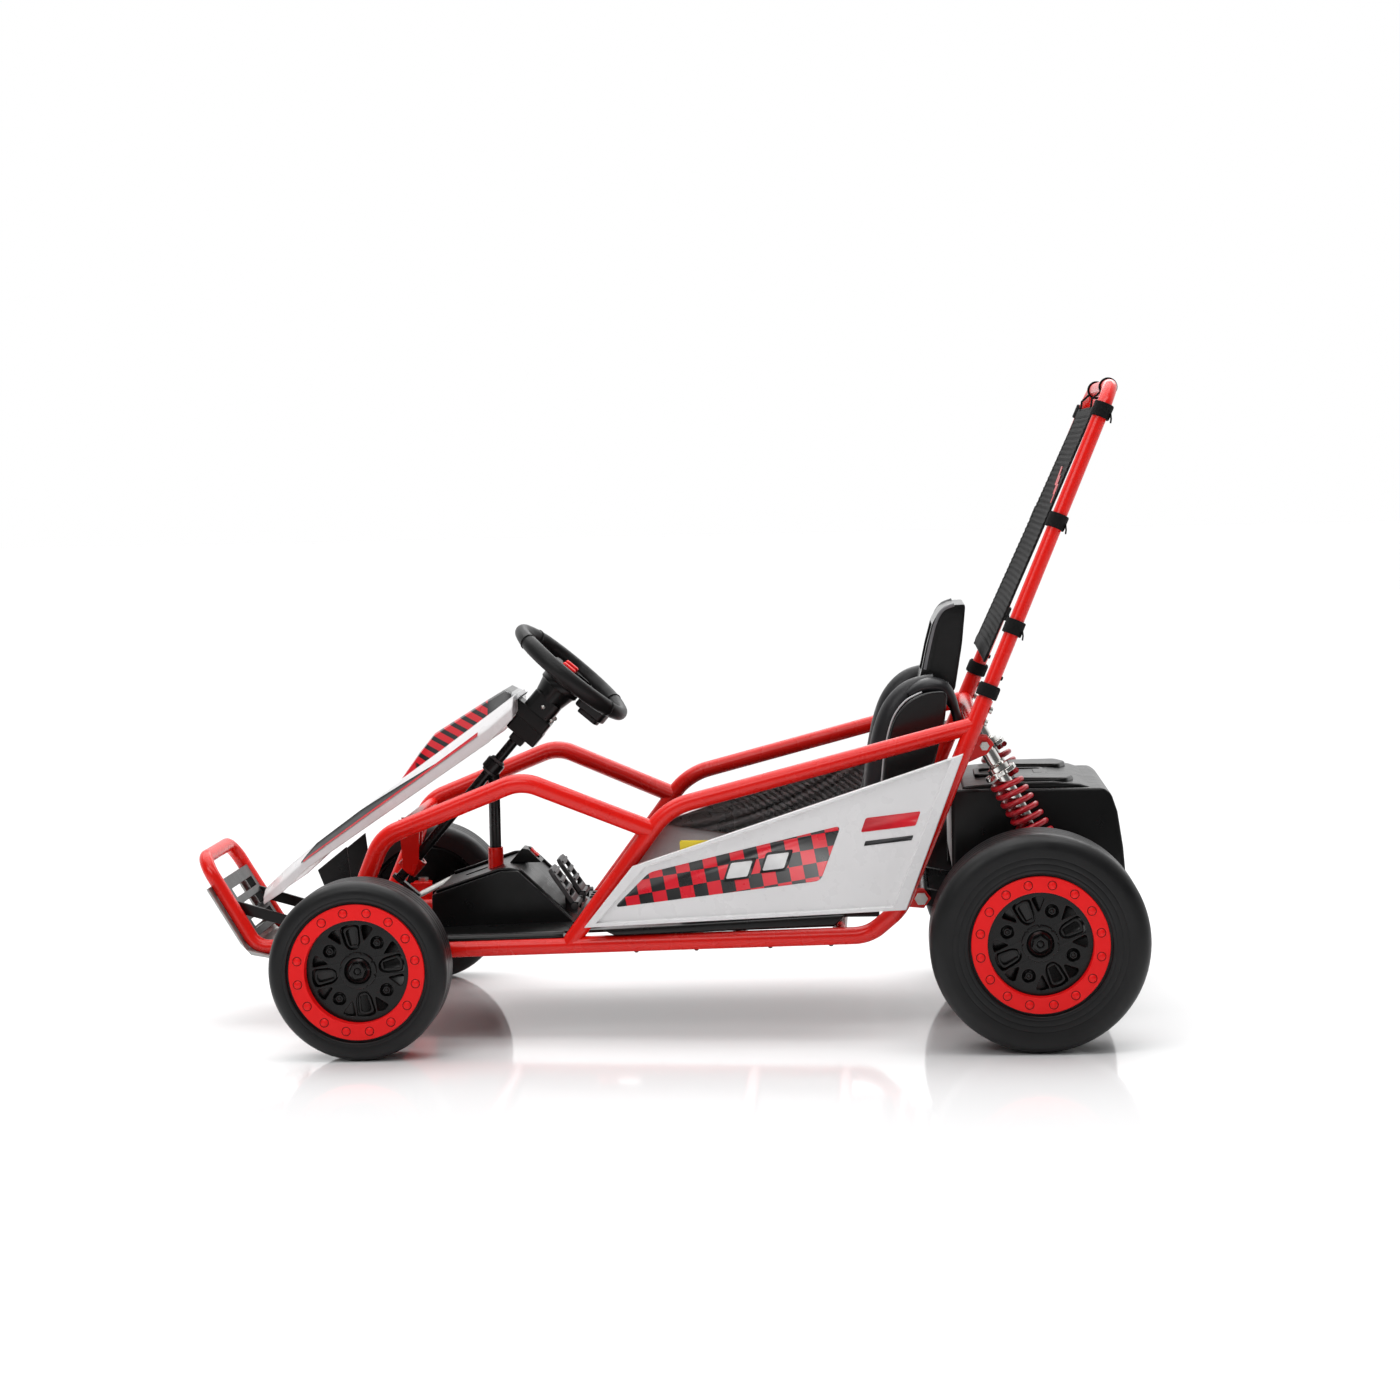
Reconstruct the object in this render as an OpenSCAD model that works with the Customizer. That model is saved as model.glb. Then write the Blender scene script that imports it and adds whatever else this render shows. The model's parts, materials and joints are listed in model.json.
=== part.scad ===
// Children's electric kart: tubular frame, steering, rear suspension, chain drive,
// body panels, bucket seat and roll hoop with a net.
// Front is -X, the driver's right is +Y, up is +Z. The origin is on the ground,
// midway along the length and across the width. Millimetres.

/* [Overall] */
// Distance between the front and the rear axle
wheelbase = 988; // [820:1:1200]
// Width over the outer faces of the tyres
overall_w = 800; // [720:1:980]
// From the front axle forward to the front of the bumper
front_overhang = 295; // [280:1:360]
// Height of the top of the roll hoop above the ground
hoop_h = 968; // [800:1:1180]

/* [Wheels] */
// Outer diameter of a front tyre
front_tyre_d = 262; // [240:1:300]
// Width of a front tyre
front_tyre_w = 88; // [70:1:96]
// Outer diameter of a rear tyre
rear_tyre_d = 318; // [280:1:360]
// Width of a rear tyre
rear_tyre_w = 118; // [90:1:124]
// Wall of the hollow tyres
tyre_wall = 14; // [10:1:18]
// Diameter of every tyre's bead seat on its rim
bead_d = 196; // [170:1:200]
// Diameter of the stub axle in a front wheel
stub_d = 14; // [12:0.5:17]
// Diameter of the rear axle
axle_d = 20; // [16:0.5:24]
// Number of bolts in a bead ring
ring_bolts = 16; // [8:1:20]

/* [Frame tubes] */
// Outer diameter of the main frame tubes
tube_d = 25.4; // [20:0.1:30.5]
// Outer diameter of the two front arch tubes
arch_d = 28; // [22:0.1:32]
// Outer diameter of the roll hoop tube, which slides into the sleeves
hoop_d = 22; // [17:0.1:24]
// Outer diameter of the bumper tube
bumper_d = 22; // [18:0.1:26]
// Wall of every tube
tube_wall = 1.5; // [1:0.1:2]
// Lean of the roll hoop back from upright, degrees
hoop_lean = 23.1; // [18:0.1:26]

/* [Steering] */
// Angle of the steering column above level, degrees
col_angle = 49; // [46:0.5:52]
// Diameter of the steering column
col_d = 16; // [13:0.5:18]
// Outer diameter of the steering wheel
swheel_d = 220; // [190:1:250]
// Thickness of the steering wheel's rim
swheel_rim = 24; // [20:1:28]
// Diameter of the kingpins
kingpin_d = 10; // [8:0.5:12]
// Length of the arm on each knuckle
knuckle_arm = 60; // [54:1:66]
// Length of the steering arm at the foot of the column
pitman_arm = 35; // [32:1:38]

/* [Suspension and drive] */
// Diameter of the shock absorber bolts
shock_bolt_d = 8; // [6:0.5:9]
// Diameter of the swing arm's pivot bolts
pivot_bolt_d = 12; // [10:0.5:14]
// Outer diameter of the coil springs
spring_d = 50; // [44:1:54]
// Diameter of the spring wire
wire_d = 7; // [5:0.5:8]
// Turns in a coil spring
spring_turns = 9; // [6:1:10]
// Teeth on the axle sprocket
axle_teeth = 44; // [36:4:48]
// Teeth on the motor sprocket
motor_teeth = 11; // [10:1:12]
// Diameter of the drive motor
motor_d = 78; // [60:1:84]

/* [Body] */
// Width of the seat over its side bolsters
seat_w = 330; // [280:1:350]
// Width of the tail housing
tail_w = 346; // [300:1:356]
// Wall of the plastic panels and covers
skin = 4; // [3:0.5:5]
// Width of the nose fairing at its middle
nose_w = 250; // [200:1:290]

/* [Clearances] */
// Radial running clearance of a pin or shaft in its bore
run = 0.05; // [0.02:0.01:0.1]
// Gap between parts that touch or pass each other
gap = 0.5; // [0.3:0.1:1]
// Radial clearance of the roll hoop in its sleeves
slip = 0.2; // [0.15:0.05:0.3]

/* [Hidden] */
$fn = 48;

// ---- places along the kart ----
// A bend's extra wall, how far a straight runs into it, and the gap at a welded saddle
fuller = 0.06;
fuse = 0.5;
weld = 0.02;

half_len = (front_overhang + wheelbase + rear_tyre_d / 2) / 2;
half_w = overall_w / 2;
tr = tube_d / 2;
ar = arch_d / 2;
hr = hoop_d / 2;
br = bumper_d / 2;
front_x = front_overhang - half_len;
rear_x = half_len - rear_tyre_d / 2;
front_z = front_tyre_d / 2;
rear_z = rear_tyre_d / 2;

// The lower rails rise slowly towards the rear and spread a little
rail_slope = 0.029;
rail_front = [front_x - 44, 228, 134];
rail_rear_x = rear_x - 246;
rail_rear = [rail_rear_x, 268, 134 + rail_slope * (rail_rear_x - rail_front.x)];
function rail_z(x) = rail_front.z + rail_slope * (x - rail_front.x);
function rail_y(x) = rail_front.y
    + (rail_rear.y - rail_front.y) * (x - rail_front.x) / (rail_rear.x - rail_front.x);
function on_rail(x, up = 0) = [x, rail_y(x), rail_z(x) + up];

// The hoop's legs lean back and draw together towards the top
hoop_foot = [rear_x - 200, 285, 198];
hoop_top_z = hoop_h - hr;
hoop_top_y = 205;
function leg(z) = [hoop_foot.x + tan(hoop_lean) * (z - hoop_foot.z),
    hoop_foot.y + (hoop_top_y - hoop_foot.y) * (z - hoop_foot.z) / (hoop_top_z - hoop_foot.z), z];
hoop_bend_r = 62;
rail_top_z = 464;
sleeve_top_z = 503;
hoop_root_z = 425;

// Side rails: hoop, kink over the seat's front, foot on the lower rail
kink = [front_x + 447, 243, 347];
rail_foot = on_rail(front_x + 294);
kink_r = 100;
junction = rail_foot + (kink - rail_foot) * 0.84;

// Front arches
arch_apex = [front_x + 232, 266, 394];
arch_nose = [front_x + 20, 250, 310];
arch_foot = [front_x - 53, 230, 137];

// Steering column: its line runs through the centre of the steering wheel
sw_centre = [front_x + 284, 0, 535];
col_dir = [cos(col_angle), 0, sin(col_angle)];
function on_col(t) = sw_centre - t * col_dir;
upper_bush_t = 192;
lower_bush_t = 393;
pitman_t = 423;
col_across = [sin(col_angle), 0, -cos(col_angle)];
function on_stud(t) = on_col(t) + pitman_arm * col_across;
eye_t = [pitman_t + 11.2, pitman_t + 18.4];
// The eyes sit this far off the stud's centre when straight, to share out the arm's swing
eye_set = 1.6;
rod_z = on_stud(pitman_t + 15).z;

// Front corners
kingpin_y = half_w - 115;
bracket_y = kingpin_y - 23;
boss_r = 13;
boss_h = 68;
ear_t = 6;
kingpin_x = front_x;
ball = [kingpin_x + knuckle_arm, kingpin_y, rod_z];
ball_r = 7;
stud_r = 3;

// Rear suspension, in the plane across Y
pivot = [rear_x - 167, 195];
shock_top = [rear_x - 71, 431];
shock_foot = [rear_x + 38, rear_z + 81];
shock_y = 214;
shock_vec = shock_foot - shock_top;
shock_len = norm(shock_vec);
shock_tilt = atan2(shock_vec.x, -shock_vec.y);
ear_y = 154;
arm_y = 118;
motor_at = [rear_x - 70, rear_z + 95];
chain_y = 62;
chain_pitch = 6.35;
shaft_r = 5.5;
axle_sprocket_r = axle_teeth * chain_pitch / (2 * PI);
motor_sprocket_r = motor_teeth * chain_pitch / (2 * PI);

// Body
hump_x = front_x + 180;
tail_front_x = rear_x - 120;
post_x = on_col(upper_bush_t).x;
pedal_y = 62;
pedal_w = 58;
pedal_hinge = [front_x + 290, 181];
pedal_rest = 56;
seat_x = rear_x - 232;

// ---- helpers ----
module both() {
    children();
    mirror([0, 1, 0]) children();
}

module rod_between(a, b, r) {
    d = b - a;
    translate(a) rotate([0, acos(d.z / norm(d)), atan2(d.y, d.x)]) cylinder(h = norm(d), r = r);
}

function unit(v) = v / norm(v);
function turn(p, i) = acos(max(-1, min(1, unit(p[i] - p[i - 1]) * unit(p[i + 1] - p[i]))));
function cut_back(p, i, bend) = (i == 0 || i == len(p) - 1) ? 0 : bend * tan(turn(p, i) / 2);

// A round tube along the points p, with every corner bent at the radius bend: solid, or with
// a wall. A bend's wall is a hair fuller than the straights', which end just inside it.
module solid_tube(p, r, bend, wall = 0) {
    for (i = [0 : len(p) - 2]) {
        d = unit(p[i + 1] - p[i]);
        c0 = cut_back(p, i, bend);
        c1 = cut_back(p, i + 1, bend);
        straight(p[i] + d * (c0 - (c0 > 0 ? fuse : 0)), p[i + 1] - d * (c1 - (c1 > 0 ? fuse : 0)), r, wall);
    }
    for (i = [1 : 1 : len(p) - 2]) elbow(p[i - 1], p[i], p[i + 1], r, bend, wall);
}

module straight(a, b, r, wall) {
    d = b - a;
    translate(a) rotate([0, acos(d.z / norm(d)), atan2(d.y, d.x)]) difference() {
        cylinder(h = norm(d), r = r);
        if (wall > 0) translate([0, 0, -1]) cylinder(h = norm(d) + 2, r = r - wall);
    }
}

module elbow(a, b, c, r, bend, wall) {
    u = unit(b - a);
    v = unit(c - b);
    angle = acos(u * v);
    start = b - u * bend * tan(angle / 2);
    centre = b + unit(v - u) * bend / cos(angle / 2);
    e1 = unit(start - centre);
    e3 = cross(e1, u);
    multmatrix([[e1.x, u.x, e3.x, centre.x], [e1.y, u.y, e3.y, centre.y],
                [e1.z, u.z, e3.z, centre.z], [0, 0, 0, 1]])
        rotate_extrude(angle = angle) translate([bend, 0]) difference() {
            circle(r = r + fuller);
            if (wall > 0) circle(r = r - wall - fuller);
        }
}

module tube(p, r, bend = 60) {
    solid_tube(p, r, bend, tube_wall);
}

// A side view outline [x, z] pulled out along Y, from y0 to y1
module slab(points, y0, y1) {
    translate([0, y1, 0]) rotate([90, 0, 0]) linear_extrude(y1 - y0) polygon(points);
}

// A round bar along Y at [x, z]
module crossbar(at, r, y0, y1) {
    translate([at.x, y1, at.y]) rotate([90, 0, 0]) cylinder(h = y1 - y0, r = r);
}

// The column's frame: +Z up the column, +X across it towards the ground at the rear
module on_column(t = 0) {
    translate(on_col(t)) rotate([0, 90 - col_angle, 0]) children();
}

// A wheel's frame: origin at the wheel's outer face, +Z outwards along the axle
module at_wheel(x, z, side) {
    translate([x, side * half_w, z]) rotate([-side * 90, 0, 0]) children();
}

module rounded_square(w, h, r) {
    translate([r, 0]) square([w - 2 * r, h]);
    translate([0, r]) square([w, h - 2 * r]);
    for (x = [r, w - r], y = [r, h - r]) translate([x, y]) circle(r = r);
}

// ---- frame ----
foot_end = leg(hoop_foot.z + 24);
lower_path = [rail_front, rail_rear, hoop_foot, foot_end];
side_path = [leg(rail_top_z), kink, rail_foot];
arch_path = [junction, arch_apex, arch_nose, arch_foot];
bumper_low = [front_x - 202, 108, 124];
bumper_top = [br - half_len, 104, 262];
bumper_root = [arch_foot.x, 108, rail_front.z];
front_cross = [arch_foot.x, rail_front.z];

// Cutters for the saddles where one tube is welded to another
module rail_saddle() { rod_between(rail_front, rail_rear, tr + weld); }
module leg_saddle() { rod_between(leg(hoop_foot.z), leg(sleeve_top_z), tr + weld); }

module lower_rails() {
    color("red") both() tube(lower_path, tr, 58);
}

module side_rails() {
    color("red") both() difference() {
        tube(side_path, tr, kink_r);
        leg_saddle();
        rail_saddle();
    }
}

module front_arches() {
    color("red") both() difference() {
        tube(arch_path, ar, 62);
        solid_tube(side_path, tr + weld, kink_r);
        rod_between(rail_front - unit(rail_rear - rail_front) * 30, rail_rear, tr + weld);
    }
}

module hoop_sleeves() {
    color("red") both() difference() {
        rod_between(foot_end, leg(sleeve_top_z), tr);
        rod_between(leg(hoop_foot.z - 10), leg(sleeve_top_z + 10), hr + slip);
        for (z = [sleeve_top_z - 12, sleeve_top_z - 30]) hoop_screw_at(z, 2.7);
    }
}

// A hoop screw goes in from the rear, square to the leg
module hoop_screw_at(z, r, head = false) {
    axis = [cos(hoop_lean), 0, -sin(hoop_lean)];
    at = leg(z);
    rod_between(at + axis * (head ? hr - tube_wall + gap : 2), at + axis * (tr + 1), r);
    if (head) rod_between(at + axis * (tr + 0.2), at + axis * (tr + 4), 5);
}

hoop_path = concat([leg(hoop_root_z), leg(hoop_top_z)],
    [for (p = [leg(hoop_top_z), leg(hoop_root_z)]) [p.x, -p.y, p.z]]);

module roll_hoop() {
    color("red") difference() {
        tube(hoop_path, hr, hoop_bend_r);
        both() for (z = [sleeve_top_z - 12, sleeve_top_z - 30]) hoop_screw_at(z, 2.7);
    }
}

seat_tube_x = [rear_x - 440, rear_x - 290];

// A tube across the kart at [x, z], from one side's centre line to the other's
module cross_tube(at, r, y) {
    difference() {
        crossbar(at, r, -y, y);
        crossbar(at, r - tube_wall, -y - 1, y + 1);
        both() children();
    }
}

module cross_tubes() {
    top = leg(rail_top_z);
    nose = [arch_nose.x + 6, arch_nose.z - 3];
    color("red") {
        for (x = concat(seat_tube_x, [post_x])) cross_tube([x, rail_z(x)], 11, rail_y(x)) rail_saddle();
        // Across the feet of the arches, where the bumper is welded on
        cross_tube(front_cross, 11, arch_foot.y) {
            rod_between(arch_nose, arch_foot + unit(arch_foot - arch_nose) * 30, ar + weld);
            rail_saddle();
        }
        // Behind the seat, between the hoop's sleeves
        cross_tube([top.x, top.z], 11, top.y) {
            leg_saddle();
            rod_between(leg(rail_top_z), kink, tr + weld);
        }
        // Over the pedals, between the arches, carrying the foot of the column
        cross_tube(nose, 9, arch_nose.y) solid_tube(arch_path, ar + weld, 62);
        // Between the hoop's feet, carrying the swing arm
        cross_tube([hoop_foot.x, hoop_foot.z], 11, hoop_foot.y) solid_tube(lower_path, tr + weld, 58);
    }
}

beam_top = rail_z(front_x) - tr - 1;
beam_h = 24;

module front_beam() {
    color("red") {
        difference() {
            translate([front_x - 18, -bracket_y - 2, beam_top - beam_h])
                cube([36, 2 * bracket_y + 4, beam_h]);
            translate([front_x - 16, -bracket_y - 5, beam_top - beam_h + 2])
                cube([32, 2 * bracket_y + 10, beam_h - 4]);
        }
        both() kingpin_bracket();
    }
}

module kingpin_bracket() {
    low = front_z - boss_h / 2 - gap - ear_t;
    high = front_z + boss_h / 2 + gap;
    difference() {
        union() {
            translate([front_x - 18, bracket_y - 3, min(low, beam_top - beam_h)])
                cube([36, 6, high + ear_t - min(low, beam_top - beam_h)]);
            for (z = [low, high]) {
                translate([front_x - 15, bracket_y, z]) cube([30, kingpin_y - bracket_y, ear_t]);
                translate([front_x, kingpin_y, z]) cylinder(h = ear_t, r = 15);
            }
        }
        translate([front_x, kingpin_y, low - 5]) cylinder(h = high - low + 20, r = kingpin_d / 2 + run);
    }
}

module frame_brackets() {
    color("red") {
        // Clevis for the top of each shock absorber, welded to the hoop's sleeve
        both() difference() {
            union() {
                for (y = [shock_y - 16, shock_y + 12]) slab([[leg(398).x, 398], [leg(447).x, 447],
                    [shock_top.x + 4, shock_top.y + 14], [shock_top.x + 14, shock_top.y + 2],
                    [shock_top.x + 4, shock_top.y - 12]], y, y + 4);
                slab([[leg(398).x, 398], [leg(447).x, 447], [leg(447).x + 7, 447], [leg(398).x + 7, 398]],
                    shock_y - 16, leg(420).y);
            }
            crossbar(shock_top, shock_bolt_d / 2 + run, shock_y - 20, shock_y + 20);
            leg_saddle();
        }
        // Ears for the swing arm's pivot bolts
        both() difference() {
            slab([[hoop_foot.x - 4, hoop_foot.z - 14], [hoop_foot.x - 4, hoop_foot.z + 14],
                  [pivot.x + 4, pivot.y + 15], [pivot.x + 15, pivot.y], [pivot.x + 4, pivot.y - 15]],
                ear_y, ear_y + 6);
            crossbar(pivot, pivot_bolt_d / 2 + run, ear_y - 1, ear_y + 8);
            crossbar([hoop_foot.x, hoop_foot.z], 11 + weld, ear_y - 1, ear_y + 8);
        }
        column_bracket();
        // Socket for the support post, welded to its cross tube
        difference() {
            translate([post_x, 0, rail_z(post_x) + 9]) cylinder(h = 262 - rail_z(post_x) - 9, r = 12);
            translate([post_x, 0, rail_z(post_x) + 20]) cylinder(h = 200, r = 9.2);
            crossbar([post_x, rail_z(post_x)], 11, -20, 20);
        }
    }
}

module column_bracket() {
    bar = [arch_nose.x + 6, arch_nose.z - 3];
    c = on_col(lower_bush_t);
    difference() {
        union() {
            for (y = [-17, 14]) slab([[bar.x - 18, bar.y + 2], [bar.x + 16, bar.y + 2],
                [c.x + 12, c.z + 4], [c.x + 4, c.z - 16], [c.x - 12, c.z - 8]], y, y + 3);
            on_column(lower_bush_t + 14) cylinder(h = 28, r = 17);
        }
        on_column(lower_bush_t + 20) cylinder(h = 40, r = col_d / 2 + 5);
        crossbar(bar, 9, -30, 30);
    }
}

module frame_bolts() {
    ear = front_z + boss_h / 2 + gap + ear_t;
    color("silver") {
        both() {
            // Kingpins
            translate([front_x, kingpin_y, front_z - boss_h / 2 - gap - ear_t - 5])
                cylinder(h = boss_h + 2 * gap + 2 * ear_t + 8, r = kingpin_d / 2);
            translate([front_x, kingpin_y, ear + 0.2]) cylinder(h = 6, r = kingpin_d / 2 + 3.5, $fn = 6);
            translate([front_x, kingpin_y, front_z - boss_h / 2 - gap - ear_t - 6.2])
                cylinder(h = 6, r = kingpin_d / 2 + 3.5, $fn = 6);
            // Shock absorber top bolts
            crossbar(shock_top, shock_bolt_d / 2, shock_y - 20, shock_y + 20);
            crossbar(shock_top, shock_bolt_d / 2 + 3, shock_y + 16.2, shock_y + 22, $fn = 6);
            crossbar(shock_top, shock_bolt_d / 2 + 3, shock_y - 22, shock_y - 16.2, $fn = 6);
            // Swing arm pivot bolts
            crossbar(pivot, pivot_bolt_d / 2, ear_y - 34, ear_y + 10);
            crossbar(pivot, pivot_bolt_d / 2 + 4, ear_y + 6.2, ear_y + 13, $fn = 6);
            for (z = [sleeve_top_z - 12, sleeve_top_z - 30]) hoop_screw_at(z, 2.5, true);
        }
    }
}

module column_bushes() {
    color("dimgray") difference() {
        union() {
            on_column(upper_bush_t + 14) cylinder(h = 28, r = col_d / 2 + 7);
            on_column(lower_bush_t + 14) cylinder(h = 30, r = col_d / 2 + 4.8);
            on_column(lower_bush_t - 14 - weld) cylinder(h = 4, r = col_d / 2 + 5.6);
        }
        on_column(lower_bush_t + 60) cylinder(h = 500, r = col_d / 2 + run);
    }
}

module support_post() {
    top = on_col(upper_bush_t);
    color("#1c1c1e") difference() {
        union() {
            translate([post_x, 0, rail_z(post_x) + 22]) cylinder(h = top.z - rail_z(post_x) - 22, r = 9);
            on_column(upper_bush_t + 11) cylinder(h = 22, r = col_d / 2 + 11);
        }
        on_column(upper_bush_t + 40) cylinder(h = 80, r = col_d / 2 + 7.2);
    }
}

bumper_path = concat([bumper_root, bumper_low, bumper_top],
    [for (p = [bumper_top, bumper_low, bumper_root]) [p.x, -p.y, p.z]]);

module bumper_loop() {
    color("red") difference() {
        tube(bumper_path, br, 34);
        crossbar(front_cross, 11, -240, 240);
    }
}

bumper_dir = unit(bumper_top - bumper_low);
bumper_out = [bumper_dir.z > 0 ? -bumper_dir.z : 0, bumper_dir.x];

// A point beside the bumper's leg: s along it, o out to the front of it
function by_bumper(s, o) = [bumper_low.x + s * bumper_dir.x + o * bumper_out.x,
    bumper_low.z + s * bumper_dir.z + o * bumper_out.y];

module bumper_insert() {
    color("#202022") difference() {
        slab([by_bumper(14, -7), by_bumper(118, -7), by_bumper(118, 4), by_bumper(14, 4)], -92, 92);
        for (s = [34, 62, 90]) slab([by_bumper(s - 8, -9), by_bumper(s + 8, -9), by_bumper(s + 8, 6),
            by_bumper(s - 8, 6)], -74, 74);
    }
    color("#202022") both() slab([by_bumper(52, -7), by_bumper(78, -7), [bumper_root.x - 70, 160],
        [bumper_root.x - 70, 144]], 84, 90);
}

module skid_plate() {
    color("silver") difference() {
        slab([by_bumper(118, br + 1), by_bumper(118, br + 4), by_bumper(20, br + 4), by_bumper(-4, br - 1),
              [bumper_low.x + 34, bumper_low.z - br - 5], [bumper_low.x + 34, bumper_low.z - br - 2],
              by_bumper(6, br + 1)], -126, 126);
        slab([by_bumper(28, 0), by_bumper(100, 0), by_bumper(100, 30), by_bumper(28, 30)], -70, 70);
        both() solid_tube([bumper_root, bumper_low, bumper_top, [bumper_top.x, 0, bumper_top.z]],
            br + 0.4, 34);
    }
}

// ---- body panels ----
nose_tip = [front_x - 196, 196];
nose_outline = [nose_tip, [front_x - 147, 243], [front_x + 46, 396], [front_x + 163, 497],
    [front_x + 214, 496], [front_x + 178, 441], [front_x + 63, 372], [front_x + 6, 326],
    [front_x - 123, 228], [front_x - 174, 186]];
nose_inner = [[front_x - 170, 209], [front_x + 44, 388], [front_x + 164, 491], [front_x + 205, 490],
    [front_x + 176, 430], [front_x + 63, 350], [front_x - 150, 170]];

module nose_plan(inset) {
    w = nose_w / 2 - inset;
    polygon([[front_x - 196 + inset, -w + 42], [front_x - 196 + inset, w - 42], [front_x - 60, w],
        [front_x + 60, w], [front_x + 240, w - 30], [front_x + 240, 30 - w], [front_x + 60, -w],
        [front_x - 60, -w]]);
}

module nose_fairing() {
    color("white") difference() {
        intersection() {
            slab(nose_outline, -nose_w, nose_w);
            linear_extrude(600) nose_plan(0);
        }
        intersection() {
            slab(nose_inner, -nose_w, nose_w);
            linear_extrude(600) nose_plan(skin);
        }
        on_column(lower_bush_t) cylinder(h = 400, r = 42);
    }
}

module fairing_bracket() {
    // Two black legs from the fairing's underside down to the bumper's roots
    color("#202022") both() slab([[front_x - 108, 241], [front_x - 62, 277], [front_x - 48, 152],
        [front_x - 74, 152]], 88, 91);
    color("#202022") slab([[front_x - 74, 149], [front_x - 48, 149], [front_x - 48, 152],
        [front_x - 74, 152]], -91, 91);
}

panel_outline = [[front_x + 322, 174], [front_x + 396, 265], [rear_x - 102, 428], [rear_x - 188, 200]];

module side_panel() {
    start = [front_x + 322, rail_y(front_x + 322) + tr + 5, 0];
    spread = atan2(hoop_foot.y + tr + 4 - start.y, rear_x - 188 - start.x);
    lip = 9;
    cx = (front_x + rear_x) / 2 + 70;
    cz = 262;
    color("white") translate(start) rotate([0, 0, spread]) translate(-start) difference() {
        slab(panel_outline, start.y, start.y + 14);
        // The face is dished inside a raised border
        slab([for (p = panel_outline) p + unit([cx, cz] - p) * lip * 2.2], start.y + 9, start.y + 20);
        slab([for (p = panel_outline) p + unit([cx, cz] - p) * lip], start.y - 5, start.y + 5);
    }
}

module left_side_panel() { mirror([0, 1, 0]) side_panel(); }
module right_side_panel() { side_panel(); }

module sill_covers() {
    x0 = front_x + 365;
    x1 = rear_x - 296;
    color("#1b1b1d") both() slab([[x0, rail_z(x0) + tr + gap], [x1, rail_z(x1) + tr + gap],
        [x1 + 16, rail_z(x1) + tr + 18], [x0 - 20, rail_z(x0) + tr + 10]], 220, rail_y(x0) + tr);
}

pan_front_x = front_x + 60;
pan_rear_x = rear_x - 300;
pan_t = 4;
pan_lift = tr + 0.4;

module floor_pan() {
    a = rail_z(pan_front_x) + pan_lift;
    b = rail_z(pan_rear_x) + pan_lift;
    color("#1b1b1d") difference() {
        slab([[pan_front_x, a], [pan_rear_x, b], [pan_rear_x, b + pan_t], [pan_front_x, a + pan_t]],
            -218, 218);
        translate([post_x, 0, 100]) cylinder(h = 100, r = 12.5);
        both() rod_between(rail_foot, kink, tr + gap);
    }
}

hump = [[front_x + 72, rail_z(front_x + 72) + pan_lift + pan_t + gap], [front_x + 73, 204], [hump_x, 239],
    [hump_x + 26, 239], [hump_x + 114, rail_z(hump_x + 114) + pan_lift + pan_t + gap]];
hump_in = [[front_x + 76, 100], [front_x + 77, 202], [hump_x + 1, 235.5], [hump_x + 25, 235.5],
    [hump_x + 109, 157], [hump_x + 109, 100]];

module footrest() {
    color("#1b1b1d") difference() {
        slab(hump, -120, 120);
        slab(hump_in, -116, 116);
        translate([post_x, 0, 100]) cylinder(h = 200, r = 12.5);
        on_column(lower_bush_t + 40) cylinder(h = 500, r = col_d / 2 + 8);
    }
    // Hinge lugs for the pedals, standing on the rear slope
    color("#1b1b1d") for (y = [-pedal_y, pedal_y], e = [-1, 1]) difference() {
        slab([[pedal_hinge.x - 14, hump_z(pedal_hinge.x - 14) + 0.2], [pedal_hinge.x - 6, pedal_hinge.y + 7],
              [pedal_hinge.x + 6, pedal_hinge.y + 6], [pedal_hinge.x + 2, hump_z(pedal_hinge.x + 2) + 0.2]],
            y + e * (pedal_w / 2 + 4) - 3, y + e * (pedal_w / 2 + 4) + 3);
        crossbar(pedal_hinge, 3 + run, y - 50, y + 50);
    }
}

// Height of the footrest's rear slope
function hump_z(x) = 239 - (239 - hump[4].y) * (x - hump_x - 26) / 88;

module switch_pod() {
    color("#232325") difference() {
        union() {
            slab([[hump_x + 2, 239.3], [hump_x + 22, 262], [hump_x + 32, 260], [hump_x + 52, 239.3],
                  [hump_x + 26, 239.3]], -20, 20);
        }
        slab([[hump_x + 26, 239.3], [hump_x + 60, 239.3], [hump_x + 60, hump_z(hump_x + 60)]], -30, 30);
        rocker_pocket();
    }
}

rocker_at = [hump_x + 39, 253];
rocker_tilt = 46;

module rocker_pocket() {
    translate([rocker_at.x, 0, rocker_at.y]) rotate([0, rocker_tilt, 0])
        translate([-11, -8, -7]) cube([22, 16, 30]);
}

module direction_rocker() {
    color("red") translate([rocker_at.x, 0, rocker_at.y]) rotate([0, rocker_tilt, 0]) {
        rotate([90, 0, 0]) translate([0, 0, -7]) linear_extrude(14)
            polygon([[-8.5, 2.6], [0, 1.4], [8.5, 2.6], [7, -1.6], [0, -4.6], [-7, -1.6]]);
    }
}

// ---- seat and battery ----
box_z0 = rail_z(pan_rear_x) + pan_lift + pan_t + gap;
box_h = 70;
seat_z = box_z0 + box_h + gap;

module battery_box() {
    color("#1b1b1d") difference() {
        translate([rear_x - 530, -196, box_z0]) cube([300, 392, box_h]);
        translate([rear_x - 526, -192, box_z0 + 4]) cube([292, 384, box_h - 8]);
    }
}

module battery() {
    color("#2a2c33") for (y = [-88, 88])
        translate([rear_x - 500, y - 80, box_z0 + 4.3]) cube([150, 160, box_h - 10]);
}

back_high = [seat_x + 112, 526];

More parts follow.
